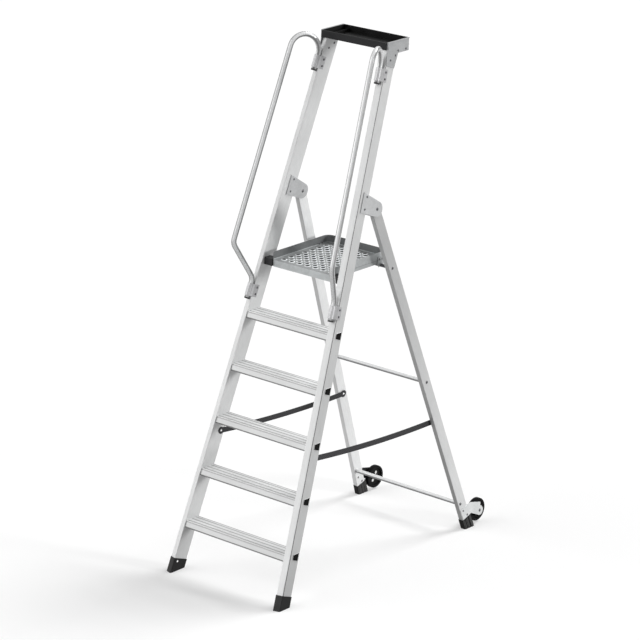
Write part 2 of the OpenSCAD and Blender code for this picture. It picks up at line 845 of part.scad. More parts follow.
module strap_front_rivets() {
  eye = strap_line[0];
  color(bright) for (side = [-1, 1]) side_frame(side) translate([strap_x, eye.x, eye.y]) {
    bar_x(0, strap_t + stile_t/3, eye_r);
    mirror([1, 0, 0]) head(eye_head_r, rivet_head_h);
  }
}

module strap_rear_rivets() {
  eye = strap_line[strap_n];
  color(bright) for (side = [-1, 1]) side_frame(side) translate([strap_x, eye.x, eye.y]) {
    bar_x(0, strap_t + stile_t/2, eye_r);
    bar_x(strap_t, stile_t + strap_t - leg_in, eye_head_r);
    mirror([1, 0, 0]) head(eye_head_r, rivet_head_h);
  }
}

// Rear leg: hollow section from the hinge to its foot
module rear_leg(side) {
  color(alu) difference() {
    leg_frame(side) translate([0, 0, -leg_floor - leg_d])
      linear_extrude(leg_floor + leg_d + leg_top) difference() {
        polygon(rounded(leg_pts, leg_edge_r));
        polygon(rounded(inset(leg_pts, leg_wall), leg_edge_r - leg_wall));
      }
    world() below(sole_t);
    at_point(side, hinge_pt) bar_x(-stile_t - overrun, overrun, hinge_r + run_gap);
    for (b = bars()) at_point(side, [0, b.x, b.y]) bar_x(0, base_w, bolt_r(b) + fit_gap);
    side_frame(side) translate([0, strap_line[strap_n].x, strap_line[strap_n].y])
      bar_x(-stile_t, -leg_gap_out - leg_t/2, eye_r + fit_gap);
    leg_frame(side) for (p = bracket_rivet_places()) translate([0, p.x, p.y])
      bar_x(-leg_in - overrun, overrun, rivet_r + fit_gap);
  }
}

// Depth and height of the bars between the legs, each with its own radius
lower_bar_fore = 13;
function bars() = [
  [leg_y(upper_bar_z), upper_bar_z, bar_r],
  [leg_y(lower_bar_z) - lower_bar_fore, lower_bar_z, bar_r],
  [rod_y, rod_z, rod_r]
];
bolt_share = 0.5;
function bolt_r(b) = b.z*bolt_share;

// Bar between the legs' inner faces
module leg_bar(b) {
  color(bright) world() difference() {
    translate([0, b.x, b.y]) bar_x(-base_w/2, base_w/2, b.z);
    outside(leg_in);
    translate([0, b.x, b.y]) bar_x(-base_w/2, base_w/2, bolt_r(b));
  }
}

// Threaded studs through bar and legs, with a domed nut outside each leg
module crossbar_bolts() {
  color(bright) for (b = bars()) {
    world() difference() {
      translate([0, b.x, b.y]) bar_x(-base_w/2, base_w/2, bolt_r(b));
      outside(leg_gap_out - screw_head_h/2);
    }
    for (side = [-1, 1]) side_frame(side) translate([-leg_gap_out, b.x, b.y/cos(taper)])
      head(bolt_r(b) + rivet_head_h, screw_head_h);
  }
}

// Rear foot: ribbed cap over the leg's end, cut level on the floor
rear_foot_pts = [
  [-leg_gap_out + foot_wall, -leg_d/2 - foot_wall],
  [-leg_gap_out + foot_wall, leg_d/2 + foot_wall + rear_foot_extra],
  [-leg_in - foot_wall, leg_d/2 + foot_wall + rear_foot_extra],
  [-leg_in - foot_wall, -leg_d/2 - foot_wall]
];

module rear_foot(side) {
  color(rubber) difference() {
    union() {
      leg_frame(side) translate([0, 0, rear_foot_top - 2*leg_d]) {
        linear_extrude(2*leg_d) polygon(rounded(rear_foot_pts, leg_edge_r + foot_wall));
        for (x = [rear_foot_pts[0].x, rear_foot_pts[2].x], i = [0 : rib_n - 1])
          translate([x - rib_t, (i - (rib_n - 1)/2)*leg_d/rib_n - rib_w/2, 0])
            cube([2*rib_t, rib_w, 2*leg_d - 2*rib_t]);
      }
    }
    difference() {
      leg_frame(side) translate([0, 0, -leg_floor - leg_d]) linear_extrude(leg_floor + leg_d)
        polygon(rounded(leg_pts, leg_edge_r));
      world() below(sole_t);
    }
    world() below(0);
  }
}

// Wheel bracket: plate on the leg's outer face, reaching back to the axle
bracket_over = 57;
bracket_lift = 36;
bracket_wing = 26;
bracket_eye_r = 24;
bracket_pts_leg = [
  [-leg_d/2 + foot_wall, rear_foot_top + bracket_over],
  [-leg_d/2 + foot_wall, rear_foot_top + rib_t],
  [leg_d/2 + foot_wall + rear_foot_extra + rib_t, rear_foot_top + rib_t],
  [axle_back - bracket_eye_r/2, -axle_down - bracket_eye_r*sin(60)],
  [axle_back, -axle_down],
  [axle_back + bracket_eye_r*cos(30), -axle_down + bracket_lift],
  [leg_d/2 + bracket_wing, rear_foot_top + bracket_over - foot_wall],
  [leg_d/2, rear_foot_top + bracket_over]
];
function bracket_rivet_places() = [
  [-leg_d/6, rear_foot_top + bracket_over - 2*rivet_head_r],
  [leg_d/6, rear_foot_top + 2*rivet_head_r]
];

module wheel_bracket(side) {
  color(zinc) difference() {
    leg_frame(side) difference() {
      plate(-leg_gap_out, bracket_t) difference() {
        union() {
          polygon(bracket_pts_leg);
          translate([axle_back, -axle_down]) circle(bracket_eye_r);
        }
        for (p = bracket_rivet_places()) translate(p) circle(rivet_r + fit_gap);
      }
    }
    at_point(side, axle_pt) bar_x(-bracket_t - overrun, bracket_t + overrun, axle_r + fit_gap);
  }
}

module bracket_rivets() {
  color(bright) for (side = [-1, 1], p = bracket_rivet_places()) leg_frame(side) translate([0, p.x, p.y])
    fastener(-leg_in, bracket_t - leg_gap_out, rivet_r, rivet_head_r, rivet_head_h);
}

// Wheel axles: shoulder against the bracket, running journal, and a cap inside the wheel
module wheel_axles() {
  color(bright) for (side = [-1, 1]) {
    difference() {
      at_point(side, axle_pt) {
        bar_x(wheel_x - seat_gap, bracket_t, axle_r);
        bar_x(-wheel_gap + seat_gap, bracket_t, 2*axle_r);
        translate([wheel_x - seat_gap, 0, 0]) mirror([1, 0, 0]) head(bolt_head_r, bolt_head_h);
      }
      leg_frame(side) translate([-leg_gap_out, 0, -reach/2]) translate([0, axle_back - 3*axle_r, 0])
        cube([reach, 6*axle_r, reach/2]);
    }
    leg_frame(side) translate([-leg_gap_out, axle_back, -axle_down]) {
      bar_x(-rib_t, bracket_t, axle_r - fit_gap);
      translate([bracket_t, 0, 0]) head(bolt_head_r, bolt_head_h);
    }
  }
}

// Nylon washers on both sides of the leg at the hinge
module hinge_washers() {
  color(rubber) for (side = [-1, 1]) difference() {
    leg_frame(side) {
      bar_x(-leg_gap_out, -washer_gap, 2*hinge_r);
      bar_x(-stile_t + washer_gap, -leg_in, 2*hinge_r);
    }
    at_point(side, hinge_pt) bar_x(-stile_t - overrun, overrun, hinge_r + run_gap);
  }
}

// Platform: perforated sheet with a front fascia, and an upstand and skirt round the other three sides
module deck_outline(in) {
  half = deck_w/2 - in;
  r = deck_corner_r - in;
  translate([-half, 0]) square([2*half, deck_d - in - r]);
  translate([-half + r, 0]) square([2*half - 2*r, deck_d - in]);
  for (x = [-half + r, half - r]) translate([x, deck_d - in - r]) circle(r);
}

ear_d = 2*pivot_back + pivot_r;

module platform_deck() {
  color(zinc) world() translate([0, deck_y, 0]) difference() {
    union() {
      translate([0, 0, deck_z - deck_t]) linear_extrude(deck_t) deck_outline(0);
      difference() {
        translate([0, 0, skirt_z]) linear_extrude(rim_z - skirt_z) difference() {
          deck_outline(0);
          deck_outline(wall_t);
          translate([-deck_w/2 + wall_t, -overrun]) square([deck_w - 2*wall_t, deck_corner_r]);
        }
        rounded_front();
      }
      translate([-deck_w/2, 0, fascia_z]) cube([deck_w, wall_t, fascia_h]);
      for (x = [-deck_w/2, deck_w/2 - wall_t]) translate([x, 0, fascia_z]) cube([wall_t, ear_d, fascia_h]);
    }
    grip_holes();
    translate([0, pivot_y - deck_y, pivot_z]) bar_x(-deck_w, deck_w, pivot_r + fit_gap);
    for (p = hook_rivets()) translate([0, p.x - deck_y, p.y]) bar_x(-deck_w, deck_w, rivet_r + fit_gap);
  }
}

// Round the front ends of the side upstands
module rounded_front() {
  translate([0, deck_edge_r, rim_z - deck_edge_r]) rotate([90, 0, 90])
    linear_extrude(2*deck_w, center = true) difference() {
      translate([-deck_edge_r - overrun, 0]) square([deck_edge_r + overrun, deck_edge_r + overrun]);
      circle(deck_edge_r);
    }
}

// Staggered rows of grip holes, kept clear of the deck's edges
hole_margin = 26;
hole_rows = floor((deck_d - 2*hole_margin)/hole_step);
hole_cols = floor((deck_w/2 - hole_margin)/hole_step);

module grip_holes() {
  row0 = (deck_d - hole_rows*hole_step)/2;
  for (i = [0 : hole_rows], k = [-hole_cols : hole_cols])
    if ((i + k) % 2 == 0)
      translate([k*hole_step, row0 + i*hole_step, deck_z - 2*deck_t]) cylinder(h = 3*deck_t, d = hole_d);
}

// Hooks that seat the platform's rear on the rod, open downwards and flared to the front
function hook_rivets() = [for (s = [-1, 1]) [rod_y + s*hook_w/4, skirt_z + hook_high*hook_rivet_share]];

module platform_hooks() {
  color(zinc) for (side = [-1, 1]) world() mirrored(side)
    plate(deck_w/2, hook_t) translate([rod_y, 0]) difference() {
      polygon(rounded([
        [-hook_w/2, skirt_z + hook_high],
        [-hook_w/2, skirt_z],
        [-rod_r - hook_t, rod_z - hook_low],
        [rod_r + hook_t, rod_z - hook_low],
        [hook_w/2, skirt_z],
        [hook_w/2, skirt_z + hook_high]
      ], hook_t));
      translate([0, rod_z]) circle(rod_r + seat_gap);
      polygon([
        [rod_r + seat_gap, rod_z],
        [-rod_r - seat_gap, rod_z],
        [-rod_r - 2*hook_t, rod_z - hook_low - hook_t],
        [rod_r + seat_gap, rod_z - hook_low - hook_t]
      ]);
      for (p = hook_rivets()) translate(p - [rod_y, 0]) circle(rivet_r + fit_gap);
    }
}

// Pivot pins from the platform's sides into the bearing blocks, ending just clear of the stiles
pin_end = base_w/2 - stile_t/cos(taper) - (pivot_z + pivot_r)*tan(taper) - seat_gap;
pin_head_r = pivot_back - wall_t - seat_gap;

module platform_pins() {
  color(bright) for (side = [-1, 1]) world() mirrored(side) translate([deck_w/2 - wall_t, pivot_y, pivot_z]) {
    bar_x(0, pin_end - deck_w/2 + wall_t, pivot_r);
    mirror([1, 0, 0]) head(pin_head_r, rivet_head_h);
  }
}

module platform_rivets() {
  color(bright) for (side = [-1, 1], p = hook_rivets()) world() mirrored(side) translate([0, p.x, p.y])
    fastener(deck_w/2 - wall_t, deck_w/2 + hook_t, rivet_r, rivet_head_r, rivet_head_h);
}

// Wheel: hub, thin web with round windows, rim under the tyre and a drum on the bracket's side
module wheel(side) {
  color(plastic) at_point(side, axle_pt) difference() {
    translate([wheel_x, 0, 0]) rotate([0, 90, 0]) rotate_extrude() {
      translate([axle_r + run_gap, 0]) square([hub_r - axle_r - run_gap, drum_w + tyre_w]);
      translate([axle_r + run_gap, (tyre_w - web_t)/2]) square([rim_r - axle_r - run_gap, web_t]);
      translate([rim_r - rim_t, 0]) square([rim_t, tyre_w]);
      translate([drum_r - rim_t, tyre_w/2]) square([rim_t, drum_w + tyre_w/2]);
    }
    for (i = [0 : window_n - 1]) rotate([window_turn + i*360/window_n, 0, 0]) translate([0, 0, window_at])
      bar_x(wheel_x - overrun, overrun, window_r);
  }
}

module tyre(side) {
  crown = tyre_h/2;
  color(rubber) at_point(side, axle_pt) translate([wheel_x, 0, 0]) rotate([0, 90, 0]) rotate_extrude()
    polygon(rounded([[rim_r, 0], [wheel_r, 0], [wheel_r, tyre_w], [rim_r, tyre_w]], crown/2));
}

stile(-1);  // stile_left
stile(1);  // stile_right
tread(1);  // tread_1
tread(2);  // tread_2
tread(3);  // tread_3
tread(4);  // tread_4
tread(5);  // tread_5
tread_end_plugs();
front_foot(-1);  // front_foot_left
front_foot(1);  // front_foot_right
front_foot_rivets();
hinge_plate(-1, 0);  // hinge_plate_outer_left
hinge_plate(1, 0);  // hinge_plate_outer_right
hinge_plate(-1, -stile_t - hinge_plate_t);  // hinge_plate_inner_left
hinge_plate(1, -stile_t - hinge_plate_t);  // hinge_plate_inner_right
hinge_rivets();
hinge_bolts();
platform_bearing(-1);  // platform_bearing_left
platform_bearing(1);  // platform_bearing_right
tray();
tray_bracket(-1);  // tray_bracket_left
tray_bracket(1);  // tray_bracket_right
tray_rivets();
handrail(-1);  // handrail_left
handrail(1);  // handrail_right
rail_end_plugs();
rail_clamp(-1, rail_hi + clamp_end);  // rail_clamp_upper_left
rail_clamp(1, rail_hi + clamp_end);  // rail_clamp_upper_right
rail_clamp(-1, rail_lo + clamp_end);  // rail_clamp_lower_left
rail_clamp(1, rail_lo + clamp_end);  // rail_clamp_lower_right
clamp_screws();
strap(-1);  // strap_left
strap(1);  // strap_right
strap_front_rivets();
rear_leg(-1);  // rear_leg_left
rear_leg(1);  // rear_leg_right
leg_bar(bars()[0]);  // upper_crossbar
leg_bar(bars()[1]);  // lower_crossbar
leg_bar(bars()[2]);  // platform_rod
crossbar_bolts();
rear_foot(-1);  // rear_foot_left
rear_foot(1);  // rear_foot_right
wheel_bracket(-1);  // wheel_bracket_left
wheel_bracket(1);  // wheel_bracket_right
bracket_rivets();
wheel_axles();
hinge_washers();
strap_rear_rivets();
platform_deck();
platform_hooks();
platform_pins();
platform_rivets();
wheel(-1);  // wheel_left
wheel(1);  // wheel_right
tyre(-1);  // tyre_left
tyre(1);  // tyre_right
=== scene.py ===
"""Dressed podium step: smooth handrails, woven straps, raised grip rims and metal, plastic and rubber finishes."""
import json
import math

import bpy
import numpy as np
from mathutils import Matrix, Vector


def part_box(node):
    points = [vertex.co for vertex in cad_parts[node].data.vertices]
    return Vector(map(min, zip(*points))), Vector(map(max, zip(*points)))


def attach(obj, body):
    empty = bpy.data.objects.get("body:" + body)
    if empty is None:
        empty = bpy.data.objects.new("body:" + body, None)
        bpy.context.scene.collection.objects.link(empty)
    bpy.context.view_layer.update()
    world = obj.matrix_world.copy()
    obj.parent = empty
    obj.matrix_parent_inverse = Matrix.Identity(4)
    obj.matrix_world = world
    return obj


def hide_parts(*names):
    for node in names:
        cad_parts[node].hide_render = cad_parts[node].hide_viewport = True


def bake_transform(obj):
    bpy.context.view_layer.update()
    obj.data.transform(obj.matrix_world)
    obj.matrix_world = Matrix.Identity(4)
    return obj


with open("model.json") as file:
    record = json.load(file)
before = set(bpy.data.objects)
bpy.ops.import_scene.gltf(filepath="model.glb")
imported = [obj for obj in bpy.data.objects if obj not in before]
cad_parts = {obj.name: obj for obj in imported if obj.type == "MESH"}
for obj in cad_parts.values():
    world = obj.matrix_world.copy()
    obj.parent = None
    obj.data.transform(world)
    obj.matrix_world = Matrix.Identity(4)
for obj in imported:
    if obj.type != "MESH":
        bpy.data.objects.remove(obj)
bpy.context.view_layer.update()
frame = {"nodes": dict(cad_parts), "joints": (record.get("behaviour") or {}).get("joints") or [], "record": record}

bl_info = {
    "name": "Podium step",
    "version": (1, 0, 0),
    "blender": (4, 5, 0),
    "location": "View3D > Sidebar > Podium step",
    "description": "Dresses the packed podium step with its smooth pieces, finishes and studio stage",
    "category": "Object",
}

JOINTS = {j["name"]: j for j in frame["joints"]}
SLOT_OF = {s["node"]: s["material_slot"] for s in frame["record"]["subparts"]}
SIDES = ((-1, "left"), (1, "right"))
RISES = 6  # equal steps up from the floor to the platform
ACROSS = (0.0, -math.pi / 2, 0.0)  # turns a finish's length across the step


class StepSizes(bpy.types.PropertyGroup):
    """Lengths and angles of the step that its new pieces follow."""
    base_width: bpy.props.FloatProperty(
        name="Base width", description="Width over the front stiles at the floor",
        default=0.718, unit="LENGTH")
    taper: bpy.props.FloatProperty(
        name="Taper", description="Inward slant of stiles and legs",
        default=math.radians(3.752), subtype="ANGLE")
    lean: bpy.props.FloatProperty(
        name="Lean", description="Backward lean of the stiles",
        default=math.radians(20.65), subtype="ANGLE")
    leg_lean: bpy.props.FloatProperty(
        name="Leg lean", description="Forward lean of the rear legs",
        default=math.radians(18.43), subtype="ANGLE")
    stile_thickness: bpy.props.FloatProperty(
        name="Stile thickness", description="Stile size across the step",
        default=0.031, unit="LENGTH")
    hinge_back: bpy.props.FloatProperty(
        name="Hinge back", description="Hinge behind the stile's front edge",
        default=0.133, unit="LENGTH")
    deck_height: bpy.props.FloatProperty(
        name="Deck height", description="Height of the platform", default=1.44, unit="LENGTH")
    tray_height: bpy.props.FloatProperty(
        name="Tray height", description="Height of the tray's rim", default=2.47, unit="LENGTH")
    rail_radius: bpy.props.FloatProperty(
        name="Rail radius", description="Radius of the handrail tube",
        default=0.0125, unit="LENGTH")
    rail_bow: bpy.props.FloatProperty(
        name="Rail bow", description="Stand-off of the rail from its clamped ends",
        default=0.1465, unit="LENGTH")
    rail_turn: bpy.props.FloatProperty(
        name="Rail turn", description="Outward turn of the rail's plane",
        default=math.radians(25.6), subtype="ANGLE")
    rail_front: bpy.props.FloatProperty(
        name="Rail front", description="Tube centre before the stile's front edge",
        default=0.0195, unit="LENGTH")
    rail_low: bpy.props.FloatProperty(
        name="Rail low", description="Lower end of the rail, below the platform",
        default=0.174, unit="LENGTH")
    rail_top_low: bpy.props.FloatProperty(
        name="Rail top low", description="Upper end of the rail, below the tray's rim",
        default=0.173, unit="LENGTH")
    rail_hook_low: bpy.props.FloatProperty(
        name="Rail hook low", description="Centre of the top hook, below the tray's rim",
        default=0.082, unit="LENGTH")
    rail_bend: bpy.props.FloatProperty(
        name="Rail bend", description="Radius of the lower bends", default=0.05, unit="LENGTH")
    strap_width: bpy.props.FloatProperty(
        name="Strap width", description="Width of the webbing", default=0.027, unit="LENGTH")
    strap_thickness: bpy.props.FloatProperty(
        name="Strap thickness", description="Thickness of the webbing",
        default=0.0025, unit="LENGTH")
    strap_sag: bpy.props.FloatProperty(
        name="Strap sag", description="Sag at the middle of a strap", default=0.013, unit="LENGTH")
    eye_rim: bpy.props.FloatProperty(
        name="Eye rim", description="How far a strap's round end stands out beyond its webbing",
        default=0.0045, unit="LENGTH")
    hole_radius: bpy.props.FloatProperty(
        name="Hole radius", description="Radius of a grip hole in the deck",
        default=0.007, unit="LENGTH")
    hole_step: bpy.props.FloatProperty(
        name="Hole step", description="Distance between rows of grip holes",
        default=0.0245, unit="LENGTH")
    rim_height: bpy.props.FloatProperty(
        name="Rim height", description="Height of the raised rim round a grip hole",
        default=0.0021, unit="LENGTH")


class StepColours(bpy.types.PropertyGroup):
    """Base colours of the finishes."""
    extrusion: bpy.props.FloatVectorProperty(
        name="Extrusion", description="Stiles, treads and legs",
        default=(0.74, 0.745, 0.745), size=3, subtype="COLOR")
    tube: bpy.props.FloatVectorProperty(
        name="Tube", description="Handrails and crossbars",
        default=(0.71, 0.715, 0.72), size=3, subtype="COLOR")
    hinge: bpy.props.FloatVectorProperty(
        name="Hinge", description="Hinge plates",
        default=(0.44, 0.445, 0.45), size=3, subtype="COLOR")
    clamp: bpy.props.FloatVectorProperty(
        name="Clamp", description="Rail clamps",
        default=(0.51, 0.51, 0.52), size=3, subtype="COLOR")
    bracket: bpy.props.FloatVectorProperty(
        name="Bracket", description="Tray brackets",
        default=(0.33, 0.335, 0.34), size=3, subtype="COLOR")
    carrier: bpy.props.FloatVectorProperty(
        name="Carrier", description="Wheel brackets",
        default=(0.62, 0.63, 0.63), size=3, subtype="COLOR")
    deck: bpy.props.FloatVectorProperty(
        name="Deck", description="Galvanised platform",
        default=(0.50, 0.52, 0.525), size=3, subtype="COLOR")
    webbing: bpy.props.FloatVectorProperty(
        name="Webbing", description="Spreader straps",
        default=(0.022, 0.022, 0.024), size=3, subtype="COLOR")
    moulding: bpy.props.FloatVectorProperty(
        name="Moulding", description="Tray, bearings and rail plugs",
        default=(0.012, 0.012, 0.013), size=3, subtype="COLOR")
    plug: bpy.props.FloatVectorProperty(
        name="Plug", description="Plugs in the tread ends",
        default=(0.004, 0.004, 0.004), size=3, subtype="COLOR")
    foot: bpy.props.FloatVectorProperty(
        name="Foot", description="Rubber feet",
        default=(0.014, 0.014, 0.014), size=3, subtype="COLOR")
    tyre: bpy.props.FloatVectorProperty(
        name="Tyre", description="Wheel tyres",
        default=(0.006, 0.006, 0.0065), size=3, subtype="COLOR")
    wheel: bpy.props.FloatVectorProperty(
        name="Wheel", description="Wheel bodies",
        default=(0.004, 0.004, 0.004), size=3, subtype="COLOR")
    fastener: bpy.props.FloatVectorProperty(
        name="Fastener", description="Dark bolts, rivets and screws",
        default=(0.09, 0.09, 0.095), size=3, subtype="COLOR")
    # Painted light: pale discs in the wheels' windows in place of the brightness seen through them
    painted_window_light: bpy.props.FloatVectorProperty(
        name="Painted window light", description="Pale discs of painted light in the wheels' windows",
        default=(0.86, 0.86, 0.85), size=3, subtype="COLOR")
    rivet: bpy.props.FloatVectorProperty(
        name="Rivet", description="Bright rivets of straps and feet",
        default=(0.80, 0.80, 0.80), size=3, subtype="COLOR")


def sizes():
    """The step's sizes, as the scene holds them."""
    return bpy.context.scene.podium_sizes


def colours():
    """The finishes' colours, as the scene holds them."""
    return bpy.context.scene.podium_colours


# Frames of the step, as in the CAD model


def along(z, back):
    """Distance along a stile of the point at height z and depth back behind the front outer edge."""
    s = sizes()
    return (z / math.cos(s.taper) + back * math.sin(s.lean)) / math.cos(s.lean)


def tipped(x, y, z, side):
    """World points of the right side's slanted plane: x across it, y to the rear, z up it; mirrored for the left."""
    s = sizes()
    across = s.base_width / 2 + x * math.cos(s.taper) - z * math.sin(s.taper)
    up = x * math.sin(s.taper) + z * math.cos(s.taper)
    return np.stack([side * across, y - origin_shift(), up], axis=-1)


def stile_points(x, y, z, side):
    """World points of a stile's own frame: x outwards, y to its rear, z along it."""
    s = sizes()
    sin, cos = math.sin(s.lean), math.cos(s.lean)
    return tipped(x, y * cos + z * sin, z * cos - y * sin, side)


def hinge_place():
    """Depth and height of the hinge before the origin's shift: x, y and z in the floor's frame."""
    s = sizes()
    height = JOINTS["rear_frame_fold"]["pos_m"][2]
    up = along(height, s.hinge_back)
    return (0.0, s.hinge_back * math.cos(s.lean) + up * math.sin(s.lean), height)


def origin_shift():
    """Distance from the stiles' front feet back to the part's origin."""
    return hinge_place()[1] - JOINTS["rear_frame_fold"]["pos_m"][1]


# Meshes


def mesh_object(name, points, faces, uv=None, smooth=True):
    """Object at the origin from points and faces; a map, where one is given, has one entry for each point."""
    mesh = bpy.data.meshes.new(name)
    mesh.from_pydata(points.reshape(-1, 3).tolist(), [], faces)
    if uv is not None:
        layer = mesh.uv_layers.new(name="UVMap")
        loops = np.empty(len(mesh.loops), dtype=np.int64)
        mesh.loops.foreach_get("vertex_index", loops)
        layer.data.foreach_set("uv", uv.reshape(-1, 2)[loops].ravel())
    mesh.polygons.foreach_set("use_smooth", np.full(len(mesh.polygons), smooth))
    mesh.validate()
    obj = bpy.data.objects.new(name, mesh)
    bpy.context.scene.collection.objects.link(obj)
    return obj


def grid_object(name, points, wrap_v=False, uv=None, caps=False):
    """Grid of points as a surface: quads join each point to the next along u and v, wrapped where v is closed."""
    nu, nv = points.shape[:2]
    index = np.arange(nu * nv).reshape(nu, nv)
    rows = np.arange(nu - 1)
    cols = np.arange(nv if wrap_v else nv - 1)
    after = (cols + 1) % nv
    corners = [(rows, cols), (rows + 1, cols), (rows + 1, after), (rows, after)]
    faces = np.stack([index[np.ix_(*corner)] for corner in corners], axis=-1).reshape(-1, 4).tolist()
    if caps:
        faces += [index[0].tolist(), index[-1][::-1].tolist()]
    return mesh_object(name, points, faces, uv)


def facing_out(obj):
    """Turns a closed mesh's faces outwards if its signed volume is negative."""
    mesh = obj.data
    mesh.calc_loop_triangles()
    co = np.empty(len(mesh.vertices) * 3)
    mesh.vertices.foreach_get("co", co)
    tri = np.empty(len(mesh.loop_triangles) * 3, dtype=np.int64)
    mesh.loop_triangles.foreach_get("vertices", tri)
    a, b, c = co.reshape(-1, 3)[tri.reshape(-1, 3)].transpose(1, 0, 2)
    if np.einsum("ij,ij->", a, np.cross(b, c)) < 0:
        mesh.flip_normals()
    return obj


# Shader groups and materials


def node(tree, kind, values=None, **settings):
    """One node with its settings and unlinked input values."""
    made = tree.nodes.new(kind)
    for key, value in settings.items():
        setattr(made, key, value)
    for key, value in (values or {}).items():
        made.inputs[key].default_value = value
    return made


def noise(tree, place, scale, detail, roughness=0.5):
    """Value of a noise at a place; its scale is a number or a socket."""
    made = node(tree, "ShaderNodeTexNoise", {"Detail": detail, "Roughness": roughness})
    tree.links.new(place, made.inputs["Vector"])
    if isinstance(scale, float):
        made.inputs["Scale"].default_value = scale
    else:
        tree.links.new(scale, made.inputs["Scale"])
    return made.outputs["Fac"]


def spread(tree, value, at_low, at_high, low=0.3, high=0.7):
    """Even change from one number to another while a value goes from low to high, by default a noise's usual span."""
    return ramp(tree, value, low, high, at_low, at_high, "LINEAR")


def die_lines(tree, given):
    """Lines of an extrusion: noise drawn out along the length, with a broad cloud over it."""
    stretch = node(tree, "ShaderNodeCombineXYZ")
    for axis, label in (("X", "Fineness"), ("Y", "Fineness"), ("Z", "Run")):
        tree.links.new(given[label], stretch.inputs[axis])
    drawn = node(tree, "ShaderNodeVectorMath", operation="MULTIPLY")
    tree.links.new(given["Vector"], drawn.inputs[0])
    tree.links.new(stretch.outputs[0], drawn.inputs[1])
    fine = noise(tree, drawn.outputs[0], 1.0, 3.0, 0.6)
    cloud = noise(tree, given["Vector"], 5.0, 2.0)
    shade = product(tree, spread(tree, fine, 0.92, 1.04), spread(tree, cloud, 0.95, 1.03))
    return shade, spread(tree, fine, 0.3, 0.46), fine


def zinc_spangle(tree, given):
    """Flat crystal cells of slightly different grey with a soft cloud over them."""
    cells = node(tree, "ShaderNodeTexVoronoi", feature="F1")
    tree.links.new(given["Vector"], cells.inputs["Vector"])
    tree.links.new(given["Cells"], cells.inputs["Scale"])
    grey = node(tree, "ShaderNodeSeparateColor")
    tree.links.new(cells.outputs["Color"], grey.inputs[0])
    cloud = noise(tree, given["Vector"], 14.0, 4.0)
    crystal = spread(tree, grey.outputs[0], 0.94, 1.05, 0.0, 1.0)
    shade = product(tree, crystal, spread(tree, cloud, 0.92, 1.06))
    return shade, spread(tree, grey.outputs[1], 0.34, 0.52, 0.0, 1.0), cloud


def moulded_grain(tree, given):
    """Fine pimples with a faint handling bloom."""
    fine = noise(tree, given["Vector"], given["Fineness"], 2.0)
    bloom = noise(tree, given["Vector"], 18.0, 3.0)
    return spread(tree, bloom, 0.85, 1.35), spread(tree, bloom, 0.42, 0.62), fine


def webbing_weave(tree, given):
    """Diagonal ribs crossed by fine picks, darker between the yarns."""
    ribs = node(tree, "ShaderNodeTexWave", {"Scale": 60.0, "Distortion": 0.4}, bands_direction="DIAGONAL")
    picks = node(tree, "ShaderNodeTexWave", {"Scale": 90.0}, bands_direction="X")
    for wave in (ribs, picks):
        tree.links.new(given["Vector"], wave.inputs["Vector"])
    yarn = product(tree, ribs.outputs["Fac"], picks.outputs["Fac"])
    return spread(tree, yarn, 0.6, 1.8, 0.0, 1.0), spread(tree, yarn, 0.9, 0.65, 0.0, 1.0), yarn


# Each group's nodes and the numbers that a material may change
DETAILS = {
    "Die lines": (die_lines, {"Fineness": 420.0, "Run": 2.2}),
    "Zinc spangle": (zinc_spangle, {"Cells": 90.0}),
    "Moulded grain": (moulded_grain, {"Fineness": 900.0}),
    "Webbing weave": (webbing_weave, {}),
}


def detail_group(name):
    """Shader group, built once, that turns a place and its numbers into a shade, a roughness and a height."""
    if name in bpy.data.node_groups:
        return bpy.data.node_groups[name]
    build, numbers = DETAILS[name]
    tree = bpy.data.node_groups.new(name, "ShaderNodeTree")
    socket = tree.interface.new_socket
    socket("Vector", in_out="INPUT", socket_type="NodeSocketVector")
    for label, value in numbers.items():
        socket(label, in_out="INPUT", socket_type="NodeSocketFloat").default_value = value
    for label in ("Shade", "Roughness", "Height"):
        socket(label, in_out="OUTPUT", socket_type="NodeSocketFloat")
    out = node(tree, "NodeGroupOutput")
    for slot, result in zip(out.inputs, build(tree, node(tree, "NodeGroupInput").outputs)):
        tree.links.new(result, slot)
    return tree


def math_node(tree, operation, *values):
    """Result of a Math node whose inputs are sockets or numbers."""
    made = node(tree, "ShaderNodeMath", operation=operation)
    for slot, value in zip(made.inputs, values):
        if isinstance(value, (int, float)):
            slot.default_value = value
        else:
            tree.links.new(value, slot)
    return made.outputs[0]


def product(tree, first, *others):
    """Product of sockets and numbers."""
    for other in others:
        first = math_node(tree, "MULTIPLY", first, other)
    return first


def ramp(tree, value, low, high, at_low, at_high, kind="SMOOTHSTEP"):
    """Change from one number to another while a value goes from low to high, smooth unless another kind is asked."""
    limits = {"From Min": low, "From Max": high, "To Min": at_low, "To Max": at_high}
    made = node(tree, "ShaderNodeMapRange", limits, interpolation_type=kind)
    tree.links.new(value, made.inputs["Value"])
    return made.outputs[0]


def band(tree, value, low, high):
    """Mask that is 1 where a value lies between two limits."""
    return math_node(tree, "COMPARE", value, (low + high) / 2, (high - low) / 2)


def fade(tree, mask, level):
    """Factor that is 1 off a mask and falls to a level on it."""
    return ramp(tree, mask, 0.0, 1.0, 1.0, level)


def place_parts(tree, kind="Object"):
    """X, Y and Z of a point of the piece, of its normal or of its map."""
    coords = node(tree, "ShaderNodeTexCoord")
    split = node(tree, "ShaderNodeSeparateXYZ")
    tree.links.new(coords.outputs[kind], split.inputs[0])
    return split.outputs


def plane_place(tree, parts, normal, offset):
    """Distance of a point from a plane that is the same on the left and on the right side."""
    total = math_node(tree, "MULTIPLY_ADD", math_node(tree, "ABSOLUTE", parts["X"]), normal[0], offset)
    total = math_node(tree, "MULTIPLY_ADD", parts["Y"], normal[1], total)
    return math_node(tree, "MULTIPLY_ADD", parts["Z"], normal[2], total)


